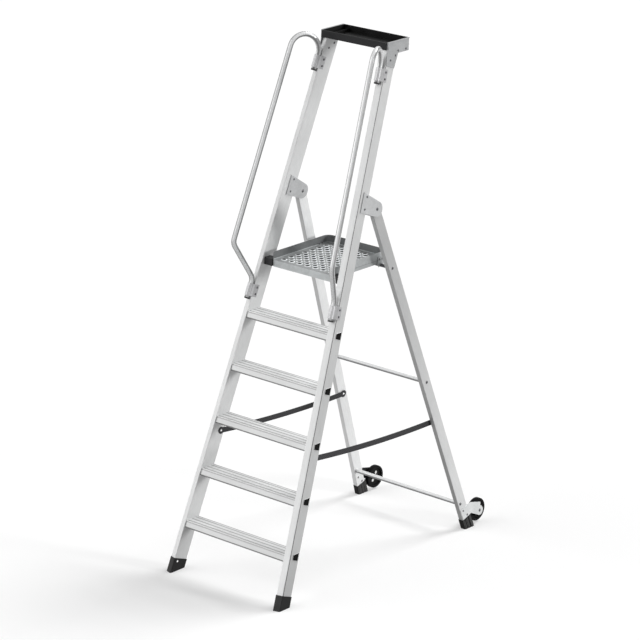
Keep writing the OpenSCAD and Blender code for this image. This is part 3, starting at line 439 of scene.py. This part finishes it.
def finish(name, colour, group, metallic, bump, turn=(0.0, 0.0, 0.0), coords="Object", values=None, rough_by=1.0,
           shading=None, specular=0.5):
    """Material whose colour, roughness and bump come from one shared group, on coordinates turned to the piece.
    The shading function may add a factor of its own to the colour."""
    if name in bpy.data.materials:
        return bpy.data.materials[name]
    mat = bpy.data.materials.new(name)
    mat.use_nodes = True
    tree = mat.node_tree
    tree.nodes.clear()
    link = tree.links.new
    out = node(tree, "ShaderNodeOutputMaterial")
    shader = node(tree, "ShaderNodeBsdfPrincipled", {"Metallic": metallic, "Specular IOR Level": specular})
    link(shader.outputs[0], out.inputs["Surface"])
    place = node(tree, "ShaderNodeTexCoord")
    turned = node(tree, "ShaderNodeMapping", {"Rotation": turn})
    link(place.outputs[coords], turned.inputs["Vector"])
    detail = node(tree, "ShaderNodeGroup", values, node_tree=detail_group(group))
    link(turned.outputs[0], detail.inputs["Vector"])
    tint = node(tree, "ShaderNodeMix", {"Factor": 1.0, "A": (*colour, 1.0)}, data_type="RGBA", blend_type="MULTIPLY")
    shade = detail.outputs["Shade"]
    if shading:
        shade = product(tree, shade, shading(tree))
    link(shade, tint.inputs["B"])
    link(tint.outputs["Result"], shader.inputs["Base Color"])
    link(product(tree, detail.outputs["Roughness"], rough_by), shader.inputs["Roughness"])
    lift = node(tree, "ShaderNodeBump", {"Strength": 0.5, "Distance": bump})
    link(detail.outputs["Height"], lift.inputs["Height"])
    link(lift.outputs["Normal"], shader.inputs["Normal"])
    return mat


# Factors that a piece adds to its finish, most of them painted light and shade. The numbers of a ramp are two limits
# and the factors at them.


def outwardness(tree):
    """How far a face looks away from the middle of the step: 1 outwards, -1 inwards."""
    return product(tree, math_node(tree, "SIGN", place_parts(tree)["X"]), place_parts(tree, "Normal")["X"])


def between(tree, mask, off, on):
    """Number that goes from one value off a mask to another on it."""
    return math_node(tree, "MULTIPLY_ADD", math_node(tree, "SUBTRACT", on, off), mask, off)


def side_shading(tree, inner, low, high):
    """Painted light and shade: a factor of the faces towards the middle, and of outer faces one that changes
    between two heights, each given with its factor."""
    facing = outwardness(tree)
    level = ramp(tree, place_parts(tree)["Z"], low[0], high[0], low[1], high[1])
    outside = between(tree, ramp(tree, facing, 0.6, 0.95, 0.0, 1.0), 1.0, level)
    return product(tree, outside, ramp(tree, facing, -0.95, -0.6, inner, 1.0))


def groove_shading(tree):
    """Painted shade in the groove along the stile's outer face, just behind its front edge; painted shade on the
    sides towards the floor and on the fronts towards the top."""
    s = sizes()
    groove_start, groove_end, skin = 0.0022, 0.0058, 0.004
    parts = place_parts(tree)
    sin_t, cos_t = math.sin(s.taper), math.cos(s.taper)
    sin_l, cos_l = math.sin(s.lean), math.cos(s.lean)
    half = s.base_width / 2
    back = plane_place(tree, parts, (sin_t * sin_l, cos_l, -cos_t * sin_l),
                       origin_shift() * cos_l - half * sin_t * sin_l)
    out = plane_place(tree, parts, (cos_t, 0.0, sin_t), -half * cos_t)
    # Painted shade in the groove
    groove = product(tree, band(tree, back, groove_start, groove_end), band(tree, out, -skin, skin))
    side = ramp(tree, math_node(tree, "ABSOLUTE", outwardness(tree)), 0.6, 0.95, 0.0, 1.0)
    # Painted shade on the sides near the floor and on the fronts towards the top
    side_level = ramp(tree, parts["Z"], 0.08, 0.35, 0.8, 1.0)
    front_level = ramp(tree, parts["Z"], 0.1, 2.4, 1.03, 0.92)
    level = between(tree, side, front_level, side_level)
    sides = side_shading(tree, inner=0.88, low=(0.2, 0.64), high=(2.5, 0.77))
    return product(tree, level, fade(tree, groove, 0.12), sides)


def leg_painted_shading(tree):
    """Painted shade on the front face of the rear legs, which differs between the two legs and from foot to hinge,
    and painted light and shade on their sides.
    """
    foot, hinge = 0.1, 1.7
    parts = place_parts(tree)
    # Painted shade on the front face, set for each leg and height
    left = ramp(tree, parts["Z"], foot, hinge, 0.93, 0.72)
    right = ramp(tree, parts["Z"], foot, hinge, 0.41, 0.64)
    level = between(tree, math_node(tree, "GREATER_THAN", parts["X"], 0.0), left, right)
    forwards = ramp(tree, place_parts(tree, "Normal")["Y"], -0.9, -0.6, 1.0, 0.0)
    sides = side_shading(tree, inner=1.1, low=(foot, 0.86), high=(hinge, 0.54))
    return product(tree, between(tree, forwards, 1.0, level), sides)


def bracket_inner_painted_shade(tree):
    """Painted shade on the inner face of a wheel bracket."""
    return ramp(tree, outwardness(tree), -0.95, -0.6, 0.07, 1.0)


def tread_shading(tree):
    """Painted shade: dark stripes for the grip grooves and a darker rear edge on the tread's top, a dark step under
    its nose and a dark lower lip; painted light on the tops of the higher treads.
    """
    s = sizes()
    rise = s.deck_height / RISES
    first_stripe, half_pitch, half_stripe, rear_edge = 0.0105, 0.0126, 0.0028, 0.0725
    skin = 0.0016
    parts = place_parts(tree)
    count = math_node(tree, "CEIL", math_node(tree, "MULTIPLY_ADD", parts["Z"], 1 / rise, -0.004))
    drop = math_node(tree, "MULTIPLY_ADD", count, rise, product(tree, parts["Z"], -1.0))
    slope = math.tan(s.lean) / math.cos(s.taper)
    back = math_node(tree, "MULTIPLY_ADD", parts["Z"], -slope, math_node(tree, "ADD", parts["Y"], origin_shift()))
    stripe = math_node(tree, "PINGPONG", math_node(tree, "ADD", back, -first_stripe), half_pitch)
    top = band(tree, drop, -0.0005, skin)
    # Painted shade: stripes for the grip grooves and a dark rear edge on the top
    grip = product(tree, top, math_node(tree, "LESS_THAN", stripe, half_stripe))
    rear = product(tree, top, math_node(tree, "GREATER_THAN", back, rear_edge))
    # Painted light on the tops of the higher treads; painted shade under the nose and on the lower lip
    top_level = ramp(tree, parts["Z"], 0.2, 1.2, 1.1, 1.33)
    front_level = ramp(tree, drop, 0.003, 0.0085, 0.46, 0.83)
    level = between(tree, math_node(tree, "LESS_THAN", drop, skin), front_level, top_level)
    lip = ramp(tree, drop, 0.0245, 0.0265, 1.0, 0.3)
    return product(tree, level, lip, fade(tree, rear, 0.52), fade(tree, grip, 0.56))


def rail_painted_reflection(tree):
    """Painted dark reflection along one side of a tube and painted shade in bands across from it, by the tube's own
    map.
    """
    near = place_parts(tree, "UV")["X"]
    dull = product(tree, ramp(tree, near, 0.02, 0.2, 0.0, 1.0), ramp(tree, near, 0.26, 0.7, 1.0, 0.0))
    return product(tree, fade(tree, dull, 0.4), ramp(tree, near, 0.92, 0.99, 1.0, 0.34))


def under_shading(tree):
    """Painted shade on the underside of a bar, with a little painted light on its top."""
    return ramp(tree, place_parts(tree, "Normal")["Z"], -0.35, 1.0, 0.27, 1.08)


def clamp_shading(tree):
    """Painted shade on a rail clamp's flange and painted reflection streaks along its bent saddle."""
    flange_x, flange_y = 0.74, 0.67
    parts = place_parts(tree, "Normal")
    turn = math_node(tree, "MULTIPLY_ADD", parts["Y"], flange_y, product(tree, parts["X"], flange_x))
    wave = math_node(tree, "PINGPONG", math_node(tree, "ADD", turn, 2.0), 0.2)
    return product(tree, ramp(tree, turn, 0.3, 0.85, 1.0, 0.62), ramp(tree, wave, 0.12, 0.19, 1.1, 0.5))


def sheet_shading(tree):
    """Darker inside of the upstand above the deck, duller skirts and a duller top of the deck."""
    sheet, skin, wall = 0.0035, 0.001, 0.0005
    parts = place_parts(tree)
    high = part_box("platform_deck")[1]
    level = sizes().deck_height
    over = math_node(tree, "GREATER_THAN", parts["Z"], level + sheet)
    inner = math_node(tree, "LESS_THAN", math_node(tree, "ABSOLUTE", parts["X"]), high[0] - wall)
    top = band(tree, parts["Z"], level - skin, level + skin)
    upstand = product(tree, over, inner)
    skirts = ramp(tree, inner, 0.0, 1.0, 0.78, 1.0)
    return product(tree, fade(tree, upstand, 0.28), skirts, fade(tree, top, 0.54))


def rim_shading(tree):
    """Painted shade down the grip holes and a painted highlight on top of their rims, by the rims' own map."""
    return product(tree, place_parts(tree, "UV")["X"], 1.5)


def tray_shading(tree):
    """Shaded inside of the tray."""
    s = sizes()
    side_wall, end_wall, lip = 0.0033, 0.003, 0.0006
    parts = place_parts(tree)
    low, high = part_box("tray")
    half = s.base_width / 2 - s.tray_height * math.tan(s.taper) - side_wall
    inside = product(tree, band(tree, parts["X"], -half, half),
                     band(tree, parts["Y"], low[1] + end_wall, high[1] - end_wall),
                     math_node(tree, "LESS_THAN", parts["Z"], high[2] - lip))
    return fade(tree, inside, 0.1)


def rib_shading(tree):
    """Painted light on the sides of a rear foot and painted shade on its front, with dark grooves of painted shade
    that run up its outer side along the leg.
    """
    leg_slope, first_groove, half_pitch, half_groove = 0.37, 0.6065, 0.01235, 0.004
    parts = place_parts(tree)
    facing = outwardness(tree)
    across = math_node(tree, "MULTIPLY_ADD", parts["Z"], leg_slope, math_node(tree, "ADD", parts["Y"], -first_groove))
    # Painted shade in the grooves; painted light on the sides below
    groove = math_node(tree, "LESS_THAN", math_node(tree, "PINGPONG", across, half_pitch), half_groove)
    groove = product(tree, groove, math_node(tree, "GREATER_THAN", facing, 0.7))
    side = ramp(tree, math_node(tree, "ABSOLUTE", facing), 0.5, 0.9, 0.65, 3.6)
    return product(tree, side, fade(tree, groove, 0.06))


def toe_shading(tree):
    """Painted light on the front of a front foot."""
    return ramp(tree, place_parts(tree, "Normal")["Y"], -0.85, -0.5, 3.2, 1.0)


# Finishes


def extrusion(name, turn, shading):
    """Satin extrusion with die lines along the piece."""
    return finish(name, colours().extrusion, "Die lines", 0.2, 0.00006, turn, shading=shading)


def stile_finish():
    """Extrusion with lines that run up the leaning stile."""
    return extrusion("Stile aluminium", (sizes().lean, 0.0, 0.0), groove_shading)


def leg_finish():
    """Extrusion with lines that run up the rear leg."""
    return extrusion("Leg aluminium", (-sizes().leg_lean, 0.0, 0.0), leg_painted_shading)


def tread_finish():
    """Extrusion with lines across the step."""
    return extrusion("Tread aluminium", ACROSS, tread_shading)


def tube_finish(name, turn, shading):
    """Smoother drawn tube with lines along it."""
    return finish(name, colours().tube, "Die lines", 0.3, 0.00004, turn, rough_by=0.75, shading=shading)


def zinc(name, colour, metallic, bump, cells, shading=None):
    """Zinc-plated steel with crystals of a given fineness."""
    return finish(name, colour, "Zinc spangle", metallic, bump, values={"Cells": cells}, shading=shading)


def plate_finish(name, colour, shading=None):
    """Plated sheet of hinges, clamps and brackets."""
    return zinc(name, colour, 0.4, 0.00005, 160.0, shading)


def deck_finish():
    """Galvanised sheet of the platform."""
    return zinc("Galvanised deck", colours().deck, 0.3, 0.00006, 70.0, sheet_shading)


def rim_finish():
    """Galvanised sheet with a painted highlight on the rims and painted shade down the holes."""
    return zinc("Deck rims", colours().deck, 0.3, 0.00006, 70.0, rim_shading)


def fastener_finish():
    """Dark bolts, rivets and screws."""
    return zinc("Zinc fastener", colours().fastener, 0.5, 0.00002, 400.0)


def rivet_finish():
    """Bright rivets."""
    return zinc("Bright rivet", colours().rivet, 0.4, 0.00002, 400.0)


def moulding(name, colour, specular, shading=None, bump=0.00005):
    """Moulded plastic with a fine grain."""
    return finish(name, colour, "Moulded grain", 0.0, bump, shading=shading, specular=specular)


def rubber(name, colour, bump, fineness, rough_by, specular, shading=None):
    """Matt rubber with a coarser grain."""
    return finish(name, colour, "Moulded grain", 0.0, bump, values={"Fineness": fineness}, rough_by=rough_by,
                  shading=shading, specular=specular)


def foot_finish(name, shading):
    """Rubber of a foot."""
    return rubber(name, colours().foot, 0.00008, 600.0, 1.2, 0.1, shading)


def webbing_finish():
    """Woven strap, by its own map."""
    return finish("Webbing", colours().webbing, "Webbing weave", 0.0, 0.0003, coords="UV")


def paint(nodes, mat):
    """Puts one material in every slot of the named CAD nodes."""
    for name in nodes:
        mesh = frame["nodes"][name].data
        mesh.materials.clear()
        mesh.materials.append(mat)


def in_slot(slot, start=""):
    """Names of the CAD nodes of one material slot, or of those that start with a word."""
    return [n for n, s in SLOT_OF.items() if s == slot and n.startswith(start)]


# Operators


class DressFrame(bpy.types.Operator):
    """Satin aluminium on stiles, treads, rear legs and crossbars."""
    bl_idname = "podium.dress_frame"
    bl_label = "Dress the frame"

    def execute(self, context):
        paint(in_slot("frame_aluminium", "stile"), stile_finish())
        paint(in_slot("frame_aluminium", "rear_leg"), leg_finish())
        paint(in_slot("frame_aluminium", "tread"), tread_finish())
        paint(["upper_crossbar", "lower_crossbar"], tube_finish("Bar aluminium", ACROSS, under_shading))
        return {"FINISHED"}


class DressFittings(bpy.types.Operator):
    """Grey plates, clamps and brackets, dark fasteners and bright rivets."""
    bl_idname = "podium.dress_fittings"
    bl_label = "Dress the fittings"

    def execute(self, context):
        hues = colours()
        paint(in_slot("plate_steel"), plate_finish("Hinge plate", hues.hinge))
        paint(in_slot("plate_steel", "rail_clamp"), plate_finish("Clamp sheet", hues.clamp, clamp_shading))
        paint(in_slot("plate_steel", "tray_bracket"), plate_finish("Tray bracket", hues.bracket))
        paint(in_slot("plate_steel", "wheel_bracket"), plate_finish("Wheel bracket", hues.carrier, bracket_inner_painted_shade))
        paint(in_slot("fastener_steel"), fastener_finish())
        paint(["strap_front_rivets", "strap_rear_rivets", "front_foot_rivets"], rivet_finish())
        return {"FINISHED"}


class DressMouldings(bpy.types.Operator):
    """Black tray, bearings and plugs, rubber feet, wheels and tyres."""
    bl_idname = "podium.dress_mouldings"
    bl_label = "Dress the mouldings"

    def execute(self, context):
        hues = colours()
        paint(in_slot("black_plastic"), moulding("Black moulding", hues.moulding, 0.35))
        paint(["tray"], moulding("Tray moulding", hues.moulding, 0.18, tray_shading))
        paint(["tread_end_plugs"], moulding("Plug moulding", hues.plug, 0.05))
        paint(in_slot("foot_rubber"), foot_finish("Foot rubber", toe_shading))
        paint(in_slot("foot_rubber", "rear_foot"), foot_finish("Ribbed foot rubber", rib_shading))
        paint(in_slot("tyre_rubber"), rubber("Tyre rubber", hues.tyre, 0.0001, 500.0, 1.3, 0.05))
        paint(in_slot("wheel_plastic"), moulding("Wheel moulding", hues.wheel, 0.1))
        return {"FINISHED"}


class BuildPlatform(bpy.types.Operator):
    """Galvanised platform with a raised rim round every grip hole."""
    bl_idname = "podium.build_platform"
    bl_label = "Build the platform's rims"

    def execute(self, context):
        paint(in_slot("deck_steel"), deck_finish())
        rims = rim_object("deck_rims", hole_places())
        rims.data.materials.append(rim_finish())
        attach(rims, "platform")
        return {"FINISHED"}


class BuildHandrails(bpy.types.Operator):
    """Smooth bent tubes in place of the faceted ones."""
    bl_idname = "podium.build_handrails"
    bl_label = "Build the handrails"

    def execute(self, context):
        for side, word in SIDES:
            rail = rail_object("handrail_" + word + "_tube", side)
            rail.data.materials.append(tube_finish("Rail aluminium", (sizes().lean, 0.0, 0.0), rail_painted_reflection))
            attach(rail, "front_frame")
            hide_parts("handrail_" + word)
        return {"FINISHED"}


class BuildStraps(bpy.types.Operator):
    """Woven straps that sag between the front and the rear frame."""
    bl_idname = "podium.build_straps"
    bl_label = "Build the straps"

    def execute(self, context):
        for side, word in SIDES:
            strap, start, end = strap_object("strap_" + word + "_webbing", side)
            strap.data.materials.append(webbing_finish())
            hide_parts("strap_" + word)
            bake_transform(strap)
        return {"FINISHED"}


class BuildPaintedWindowLights(bpy.types.Operator):
    """Pale discs of painted light in the wheels' windows, in place of the brightness seen through them."""
    bl_idname = "podium.build_shields"
    bl_label = "Build the painted window lights"

    def execute(self, context):
        for side, word in SIDES:
            shields = painted_window_light_object("wheel_" + word + "_painted_window_lights", side, *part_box("wheel_" + word))
            shields.data.materials.append(moulding("Shield moulding", colours().painted_window_light, 0.5, bump=0.00003))
            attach(shields, "wheel_" + word + "_body")
        return {"FINISHED"}


class BuildStage(bpy.types.Operator):
    """Pale floor, soft studio light and the camera at the photograph's angle."""
    bl_idname = "podium.build_stage"
    bl_label = "Build the stage"

    def execute(self, context):
        floor_object()
        studio_world()
        lamp("key_lamp", (0.3, 0.95, 1.2), 22.0, 1.9)
        lamp("front_lamp", (-0.56, -0.77, 0.32), 70.0, 1.8)
        lamp("side_lamp", (1.0, 0.38, 0.2), 11.0, 1.7)
        photo_camera()
        return {"FINISHED"}


# Pieces


def bend_line(u, v, radius, start, turn, steps, flip):
    """Stations of a bend: points on a circle about (u, v) with the tube's normal angle at each."""
    a = start + turn * np.linspace(0.0, 1.0, steps + 1)
    return np.stack([u + radius * np.cos(a), v + radius * np.sin(a), a + flip], axis=-1)


def rail_line():
    """Stations of a handrail in its own plane: straight lengths joined by two lower bends and the top hook."""
    s = sizes()
    bow = s.rail_bow
    bend_below, bend_above = 0.087, 0.085
    reach = -s.rail_front - bow * math.cos(s.rail_turn)
    low = along(s.deck_height - s.rail_low, -s.rail_front)
    high = along(s.tray_height - s.rail_top_low, -s.rail_front)
    bend_low = along(s.deck_height - bend_below, -s.rail_front)
    bend_high = along(s.deck_height + bend_above, reach)
    hook = along(s.tray_height - s.rail_hook_low, -s.rail_front - bow * math.cos(s.rail_turn) / 2)
    turn = math.atan2(bow, bend_high - bend_low)
    tangent = s.rail_bend * math.tan(turn / 2)
    return np.concatenate([
        [[0.0, low, math.pi]],
        bend_line(s.rail_bend, bend_low - tangent, s.rail_bend, math.pi, -turn, 12, 0.0),
        bend_line(bow - s.rail_bend, bend_high + tangent, s.rail_bend, -turn, turn, 12, math.pi),
        bend_line(bow / 2, hook, bow / 2, 0.0, math.pi, 36, math.pi),
        [[0.0, high, 2 * math.pi]],
    ])


def rail_object(name, side):
    """Handrail: a circle carried along the rail's line in the plane that turns outwards from the stile."""
    s = sizes()
    line = rail_line()
    ring = np.linspace(0.0, 2 * math.pi, 40, endpoint=False)
    across = s.rail_radius * np.cos(ring)
    u = line[:, 0:1] + across * np.cos(line[:, 2:3])
    v = line[:, 1:2] + across * np.sin(line[:, 2:3])
    flat = np.broadcast_to(s.rail_radius * np.sin(ring), u.shape)
    x = -s.stile_thickness / 2 + u * math.sin(s.rail_turn) + flat * math.cos(s.rail_turn)
    y = -s.rail_front - u * math.cos(s.rail_turn) + flat * math.sin(s.rail_turn)
    # Turn round the tube of the painted dark reflection line, set for each side; the map holds how near each point
    # lies to it
    painted_reflection_turn = math.radians(125 if side > 0 else 302)
    near = np.broadcast_to(0.5 + 0.5 * np.cos(ring - painted_reflection_turn), u.shape)
    uv = np.stack([near, np.broadcast_to(v, u.shape)], axis=-1)
    return facing_out(grid_object(name, stile_points(x, y, v, side), wrap_v=True, uv=uv, caps=True))


def strap_ends():
    """Depth of a strap's two eyes before the origin's shift, and the heights there."""
    s = sizes()
    front_z, rear_z, eye_back = 0.642, 0.591, 0.056
    hinge = hinge_place()
    front_y = front_z * math.tan(s.lean) / math.cos(s.taper) + eye_back
    rear_y = hinge[1] + (hinge[2] - rear_z) * math.tan(s.leg_lean) / math.cos(s.taper)
    return front_y, rear_y, front_z / math.cos(s.taper), rear_z / math.cos(s.taper)


def strap_height(y):
    """Height of a strap's middle line: straight from eye to eye, less a parabola of sag."""
    y0, y1, z0, z1 = strap_ends()
    t = (y - y0) / (y1 - y0)
    return z0 + (z1 - z0) * t - 4 * sizes().strap_sag * t * (1 - t)


def strap_object(name, side):
    """Strap: a flat rounded band carried along the sagging line, swelling to a circle round each eye."""
    s = sizes()
    half, thick = s.strap_width / 2, s.strap_thickness / 2
    round_end = half + s.eye_rim
    squareness, tip = 0.35, 0.03
    y0, y1 = strap_ends()[:2]
    meet = math.asin(half / round_end)
    turn = np.linspace(tip, math.pi - meet, 18)
    reach = round_end * math.cos(meet)
    middle = np.linspace(y0 + reach, y1 - reach, 81)[1:-1]
    y = np.concatenate([y0 - round_end * np.cos(turn), middle, (y1 + round_end * np.cos(turn))[::-1]])
    wide = np.concatenate([round_end * np.sin(turn), np.full(len(middle), half), round_end * np.sin(turn)[::-1]])
    ring = np.linspace(0.0, 2 * math.pi, 24, endpoint=False)
    up = np.sign(np.cos(ring)) * np.abs(np.cos(ring)) ** squareness
    out = np.sign(np.sin(ring)) * np.abs(np.sin(ring)) ** squareness
    x = np.broadcast_to(-s.stile_thickness - thick + thick * out, (len(y), len(ring)))
    yy = np.broadcast_to(y[:, None], x.shape)
    across = wide[:, None] * up
    points = tipped(x, yy, strap_height(y)[:, None] + across, side)
    strap = facing_out(grid_object(name, points, wrap_v=True, uv=np.stack([yy, across], axis=-1), caps=True))
    ends = tipped(np.full(2, -s.stile_thickness - thick), middle[[2, -3]], strap_height(middle[[2, -3]]), side)
    return strap, tuple(ends[0]), tuple(ends[1])


def hole_places():
    """Centres of the grip holes: two staggered square grids, kept clear of the deck's edges."""
    s = sizes()
    (x0, y0, _), (x1, y1, _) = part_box("platform_deck")
    width, depth = x1 - x0, y1 - y0
    margin = 0.026
    rows = int((depth - 2 * margin) / s.hole_step)
    cols = int((width / 2 - margin) / s.hole_step)
    i, k = np.meshgrid(np.arange(rows + 1), np.arange(-cols, cols + 1), indexing="ij")
    keep = (i + k) % 2 == 0
    first = y0 + (depth - rows * s.hole_step) / 2
    return np.stack([k[keep] * s.hole_step, first + i[keep] * s.hole_step], axis=-1)


def rim_object(name, places):
    """Raised rims: a profile of height over radius turned round each hole, from the hole's wall up a funnel to
    the crest and out to the flat deck; the map holds the painted shade and highlight along the profile."""
    s = sizes()
    r = np.array([0.0, 0.0, 3.4, 4.1, 6.4, 9.8]) * 0.001 + s.hole_radius
    h = np.array([-3.0, 0.2, 0.9, 1.0, 0.55, -0.06]) * s.rim_height
    # Painted shade down the hole and a painted highlight on the crest, ring by ring
    painted_shade_and_highlight = np.array([0.02, 0.02, 0.06, 1.05, 1.0, 0.66])
    a = np.linspace(0.0, 2 * math.pi, 14, endpoint=False)
    x = places[:, 0, None, None] + r[None, :, None] * np.cos(a)
    y = places[:, 1, None, None] + r[None, :, None] * np.sin(a)
    z = np.broadcast_to(s.deck_height + h[None, :, None], x.shape)
    shade = np.broadcast_to(painted_shade_and_highlight[None, :, None], x.shape)
    index = np.arange(x.size).reshape(x.shape)
    around = np.roll(index, -1, axis=2)
    quads = np.stack([index[:, :-1], index[:, 1:], around[:, 1:], around[:, :-1]], axis=-1).reshape(-1, 4)
    return mesh_object(name, np.stack([x, y, z], axis=-1), quads.tolist(), np.stack([shade, shade], axis=-1))


def painted_window_light_object(name, side, low, high):
    """Pale discs of painted light: four flat cylinders along the axle, spaced a quarter turn apart round it."""
    first_turn, from_axle, inset, radius, thickness = math.radians(-31.5), 0.021, 0.0082, 0.008, 0.0015
    turn = first_turn + math.pi / 2 * np.arange(4)
    y = (low[1] + high[1]) / 2 - from_axle * np.sin(turn)
    z = (low[2] + high[2]) / 2 + from_axle * np.cos(turn)
    face = low[0] + inset if side > 0 else high[0] - inset
    x = face + side * np.array([0.0, thickness])
    a = np.linspace(0.0, 2 * math.pi, 16, endpoint=False)
    shape = (len(turn), len(x), len(a))
    points = np.stack([
        np.broadcast_to(x[None, :, None], shape),
        np.broadcast_to(y[:, None, None] + radius * np.cos(a), shape),
        np.broadcast_to(z[:, None, None] + radius * np.sin(a), shape)], axis=-1)
    index = np.arange(math.prod(shape)).reshape(shape)
    around = np.roll(index, -1, axis=2)
    walls = np.stack([index[:, 0], index[:, 1], around[:, 1], around[:, 0]], axis=-1).reshape(-1, 4)
    faces = walls.tolist() + index[:, 0].tolist() + index[:, 1, ::-1].tolist()
    return facing_out(mesh_object(name, points, faces, smooth=False))


# Stage


def floor_object():
    """Wide pale floor, lit as written and lifted to white for the camera and for reflections."""
    reach, below = 30.0, 0.0005
    lit, lit_to_camera, lift, mirrored_lift = 0.28, 0.62, 0.33, 0.7
    span = np.array([-reach, reach])
    x, y = np.meshgrid(span, span, indexing="ij")
    floor = grid_object("floor", np.stack([x, y, np.full_like(x, -below)], axis=-1))
    mat = bpy.data.materials.new("Pale floor")
    mat.use_nodes = True
    tree = mat.node_tree
    tree.nodes.clear()
    out = node(tree, "ShaderNodeOutputMaterial")
    matt = node(tree, "ShaderNodeBsdfDiffuse")
    glow = node(tree, "ShaderNodeEmission")
    path = node(tree, "ShaderNodeLightPath").outputs
    tree.links.new(ramp(tree, path["Is Camera Ray"], 0.0, 1.0, lit, lit_to_camera), matt.inputs["Color"])
    mirrored = math_node(tree, "MAXIMUM", path["Is Glossy Ray"], path["Is Transmission Ray"])
    level = math_node(tree, "MULTIPLY_ADD", mirrored, mirrored_lift, product(tree, path["Is Camera Ray"], lift))
    tree.links.new(level, glow.inputs["Strength"])
    total = node(tree, "ShaderNodeAddShader")
    tree.links.new(matt.outputs[0], total.inputs[0])
    tree.links.new(glow.outputs[0], total.inputs[1])
    tree.links.new(total.outputs[0], out.inputs["Surface"])
    floor.data.materials.append(mat)


def studio_world():
    """White surround for the camera and reflections, and a plain soft light for everything else."""
    soft_light, white = 0.36, 1.0
    world = bpy.data.worlds.new("Studio")
    bpy.context.scene.world = world
    world.use_nodes = True
    tree = world.node_tree
    tree.nodes.clear()
    out = node(tree, "ShaderNodeOutputWorld")
    sky = node(tree, "ShaderNodeBackground", {"Color": (1.0, 1.0, 1.0, 1.0)})
    path = node(tree, "ShaderNodeLightPath").outputs
    mirrored = math_node(tree, "MAXIMUM", path["Is Glossy Ray"], path["Is Transmission Ray"])
    seen = math_node(tree, "MAXIMUM", path["Is Camera Ray"], mirrored)
    tree.links.new(ramp(tree, seen, 0.0, 1.0, soft_light, white), sky.inputs["Strength"])
    tree.links.new(sky.outputs[0], out.inputs["Surface"])
    bpy.context.scene.view_settings.view_transform = "Standard"


def lamp(name, toward, angle, strength):
    """Broad even lamp whose light comes from one direction, spread over an angle in degrees."""
    data = bpy.data.lights.new(name, "SUN")
    data.angle = math.radians(angle)
    data.specular_factor = 0.05
    data.energy = strength
    obj = bpy.data.objects.new(name, data)
    bpy.context.scene.collection.objects.link(obj)
    x, y, z = toward
    obj.rotation_euler = (math.atan2(math.hypot(x, y), z), 0.0, math.atan2(x, -y))


def photo_camera():
    """Camera 42 degrees to the right and 18.5 degrees above the horizon, with a long lens."""
    aside, ahead, up = 9.4896, -9.8761, 5.8991
    turn, tilt = math.radians(41.966), math.radians(18.484)
    data = bpy.data.cameras.new("photo_camera")
    data.sensor_width = 36.0
    data.lens = 180.37
    data.clip_end = 60.0
    obj = bpy.data.objects.new("photo_camera", data)
    bpy.context.scene.collection.objects.link(obj)
    obj.location = (aside, ahead - origin_shift(), up)
    obj.rotation_euler = (math.pi / 2 - tilt, 0.0, turn)
    bpy.context.scene.camera = obj


class PodiumPanel(bpy.types.Panel):
    """Lists the step's operators in the sidebar."""
    bl_idname = "VIEW3D_PT_podium"
    bl_label = "Podium step"
    bl_space_type = "VIEW_3D"
    bl_region_type = "UI"
    bl_category = "Podium step"

    def draw(self, context):
        for op in OPERATORS:
            self.layout.operator(op.bl_idname)


OPERATORS = (DressFrame, DressFittings, DressMouldings, BuildPlatform, BuildHandrails, BuildStraps, BuildPaintedWindowLights,
             BuildStage)
CLASSES = (StepSizes, StepColours, *OPERATORS, PodiumPanel)


def register():
    """Adds the classes and the scene's sizes and colours."""
    for cls in CLASSES:
        bpy.utils.register_class(cls)
    bpy.types.Scene.podium_sizes = bpy.props.PointerProperty(type=StepSizes)
    bpy.types.Scene.podium_colours = bpy.props.PointerProperty(type=StepColours)


def unregister():
    """Takes away what register added."""
    del bpy.types.Scene.podium_colours
    del bpy.types.Scene.podium_sizes
    for cls in reversed(CLASSES):
        bpy.utils.unregister_class(cls)


def main():
    """Dresses the part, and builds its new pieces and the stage."""
    register()
    bpy.ops.podium.dress_frame()
    bpy.ops.podium.dress_fittings()
    bpy.ops.podium.dress_mouldings()
    bpy.ops.podium.build_platform()
    bpy.ops.podium.build_handrails()
    bpy.ops.podium.build_straps()
    bpy.ops.podium.build_shields()
    bpy.ops.podium.build_stage()


if __name__ == "__main__":
    main()
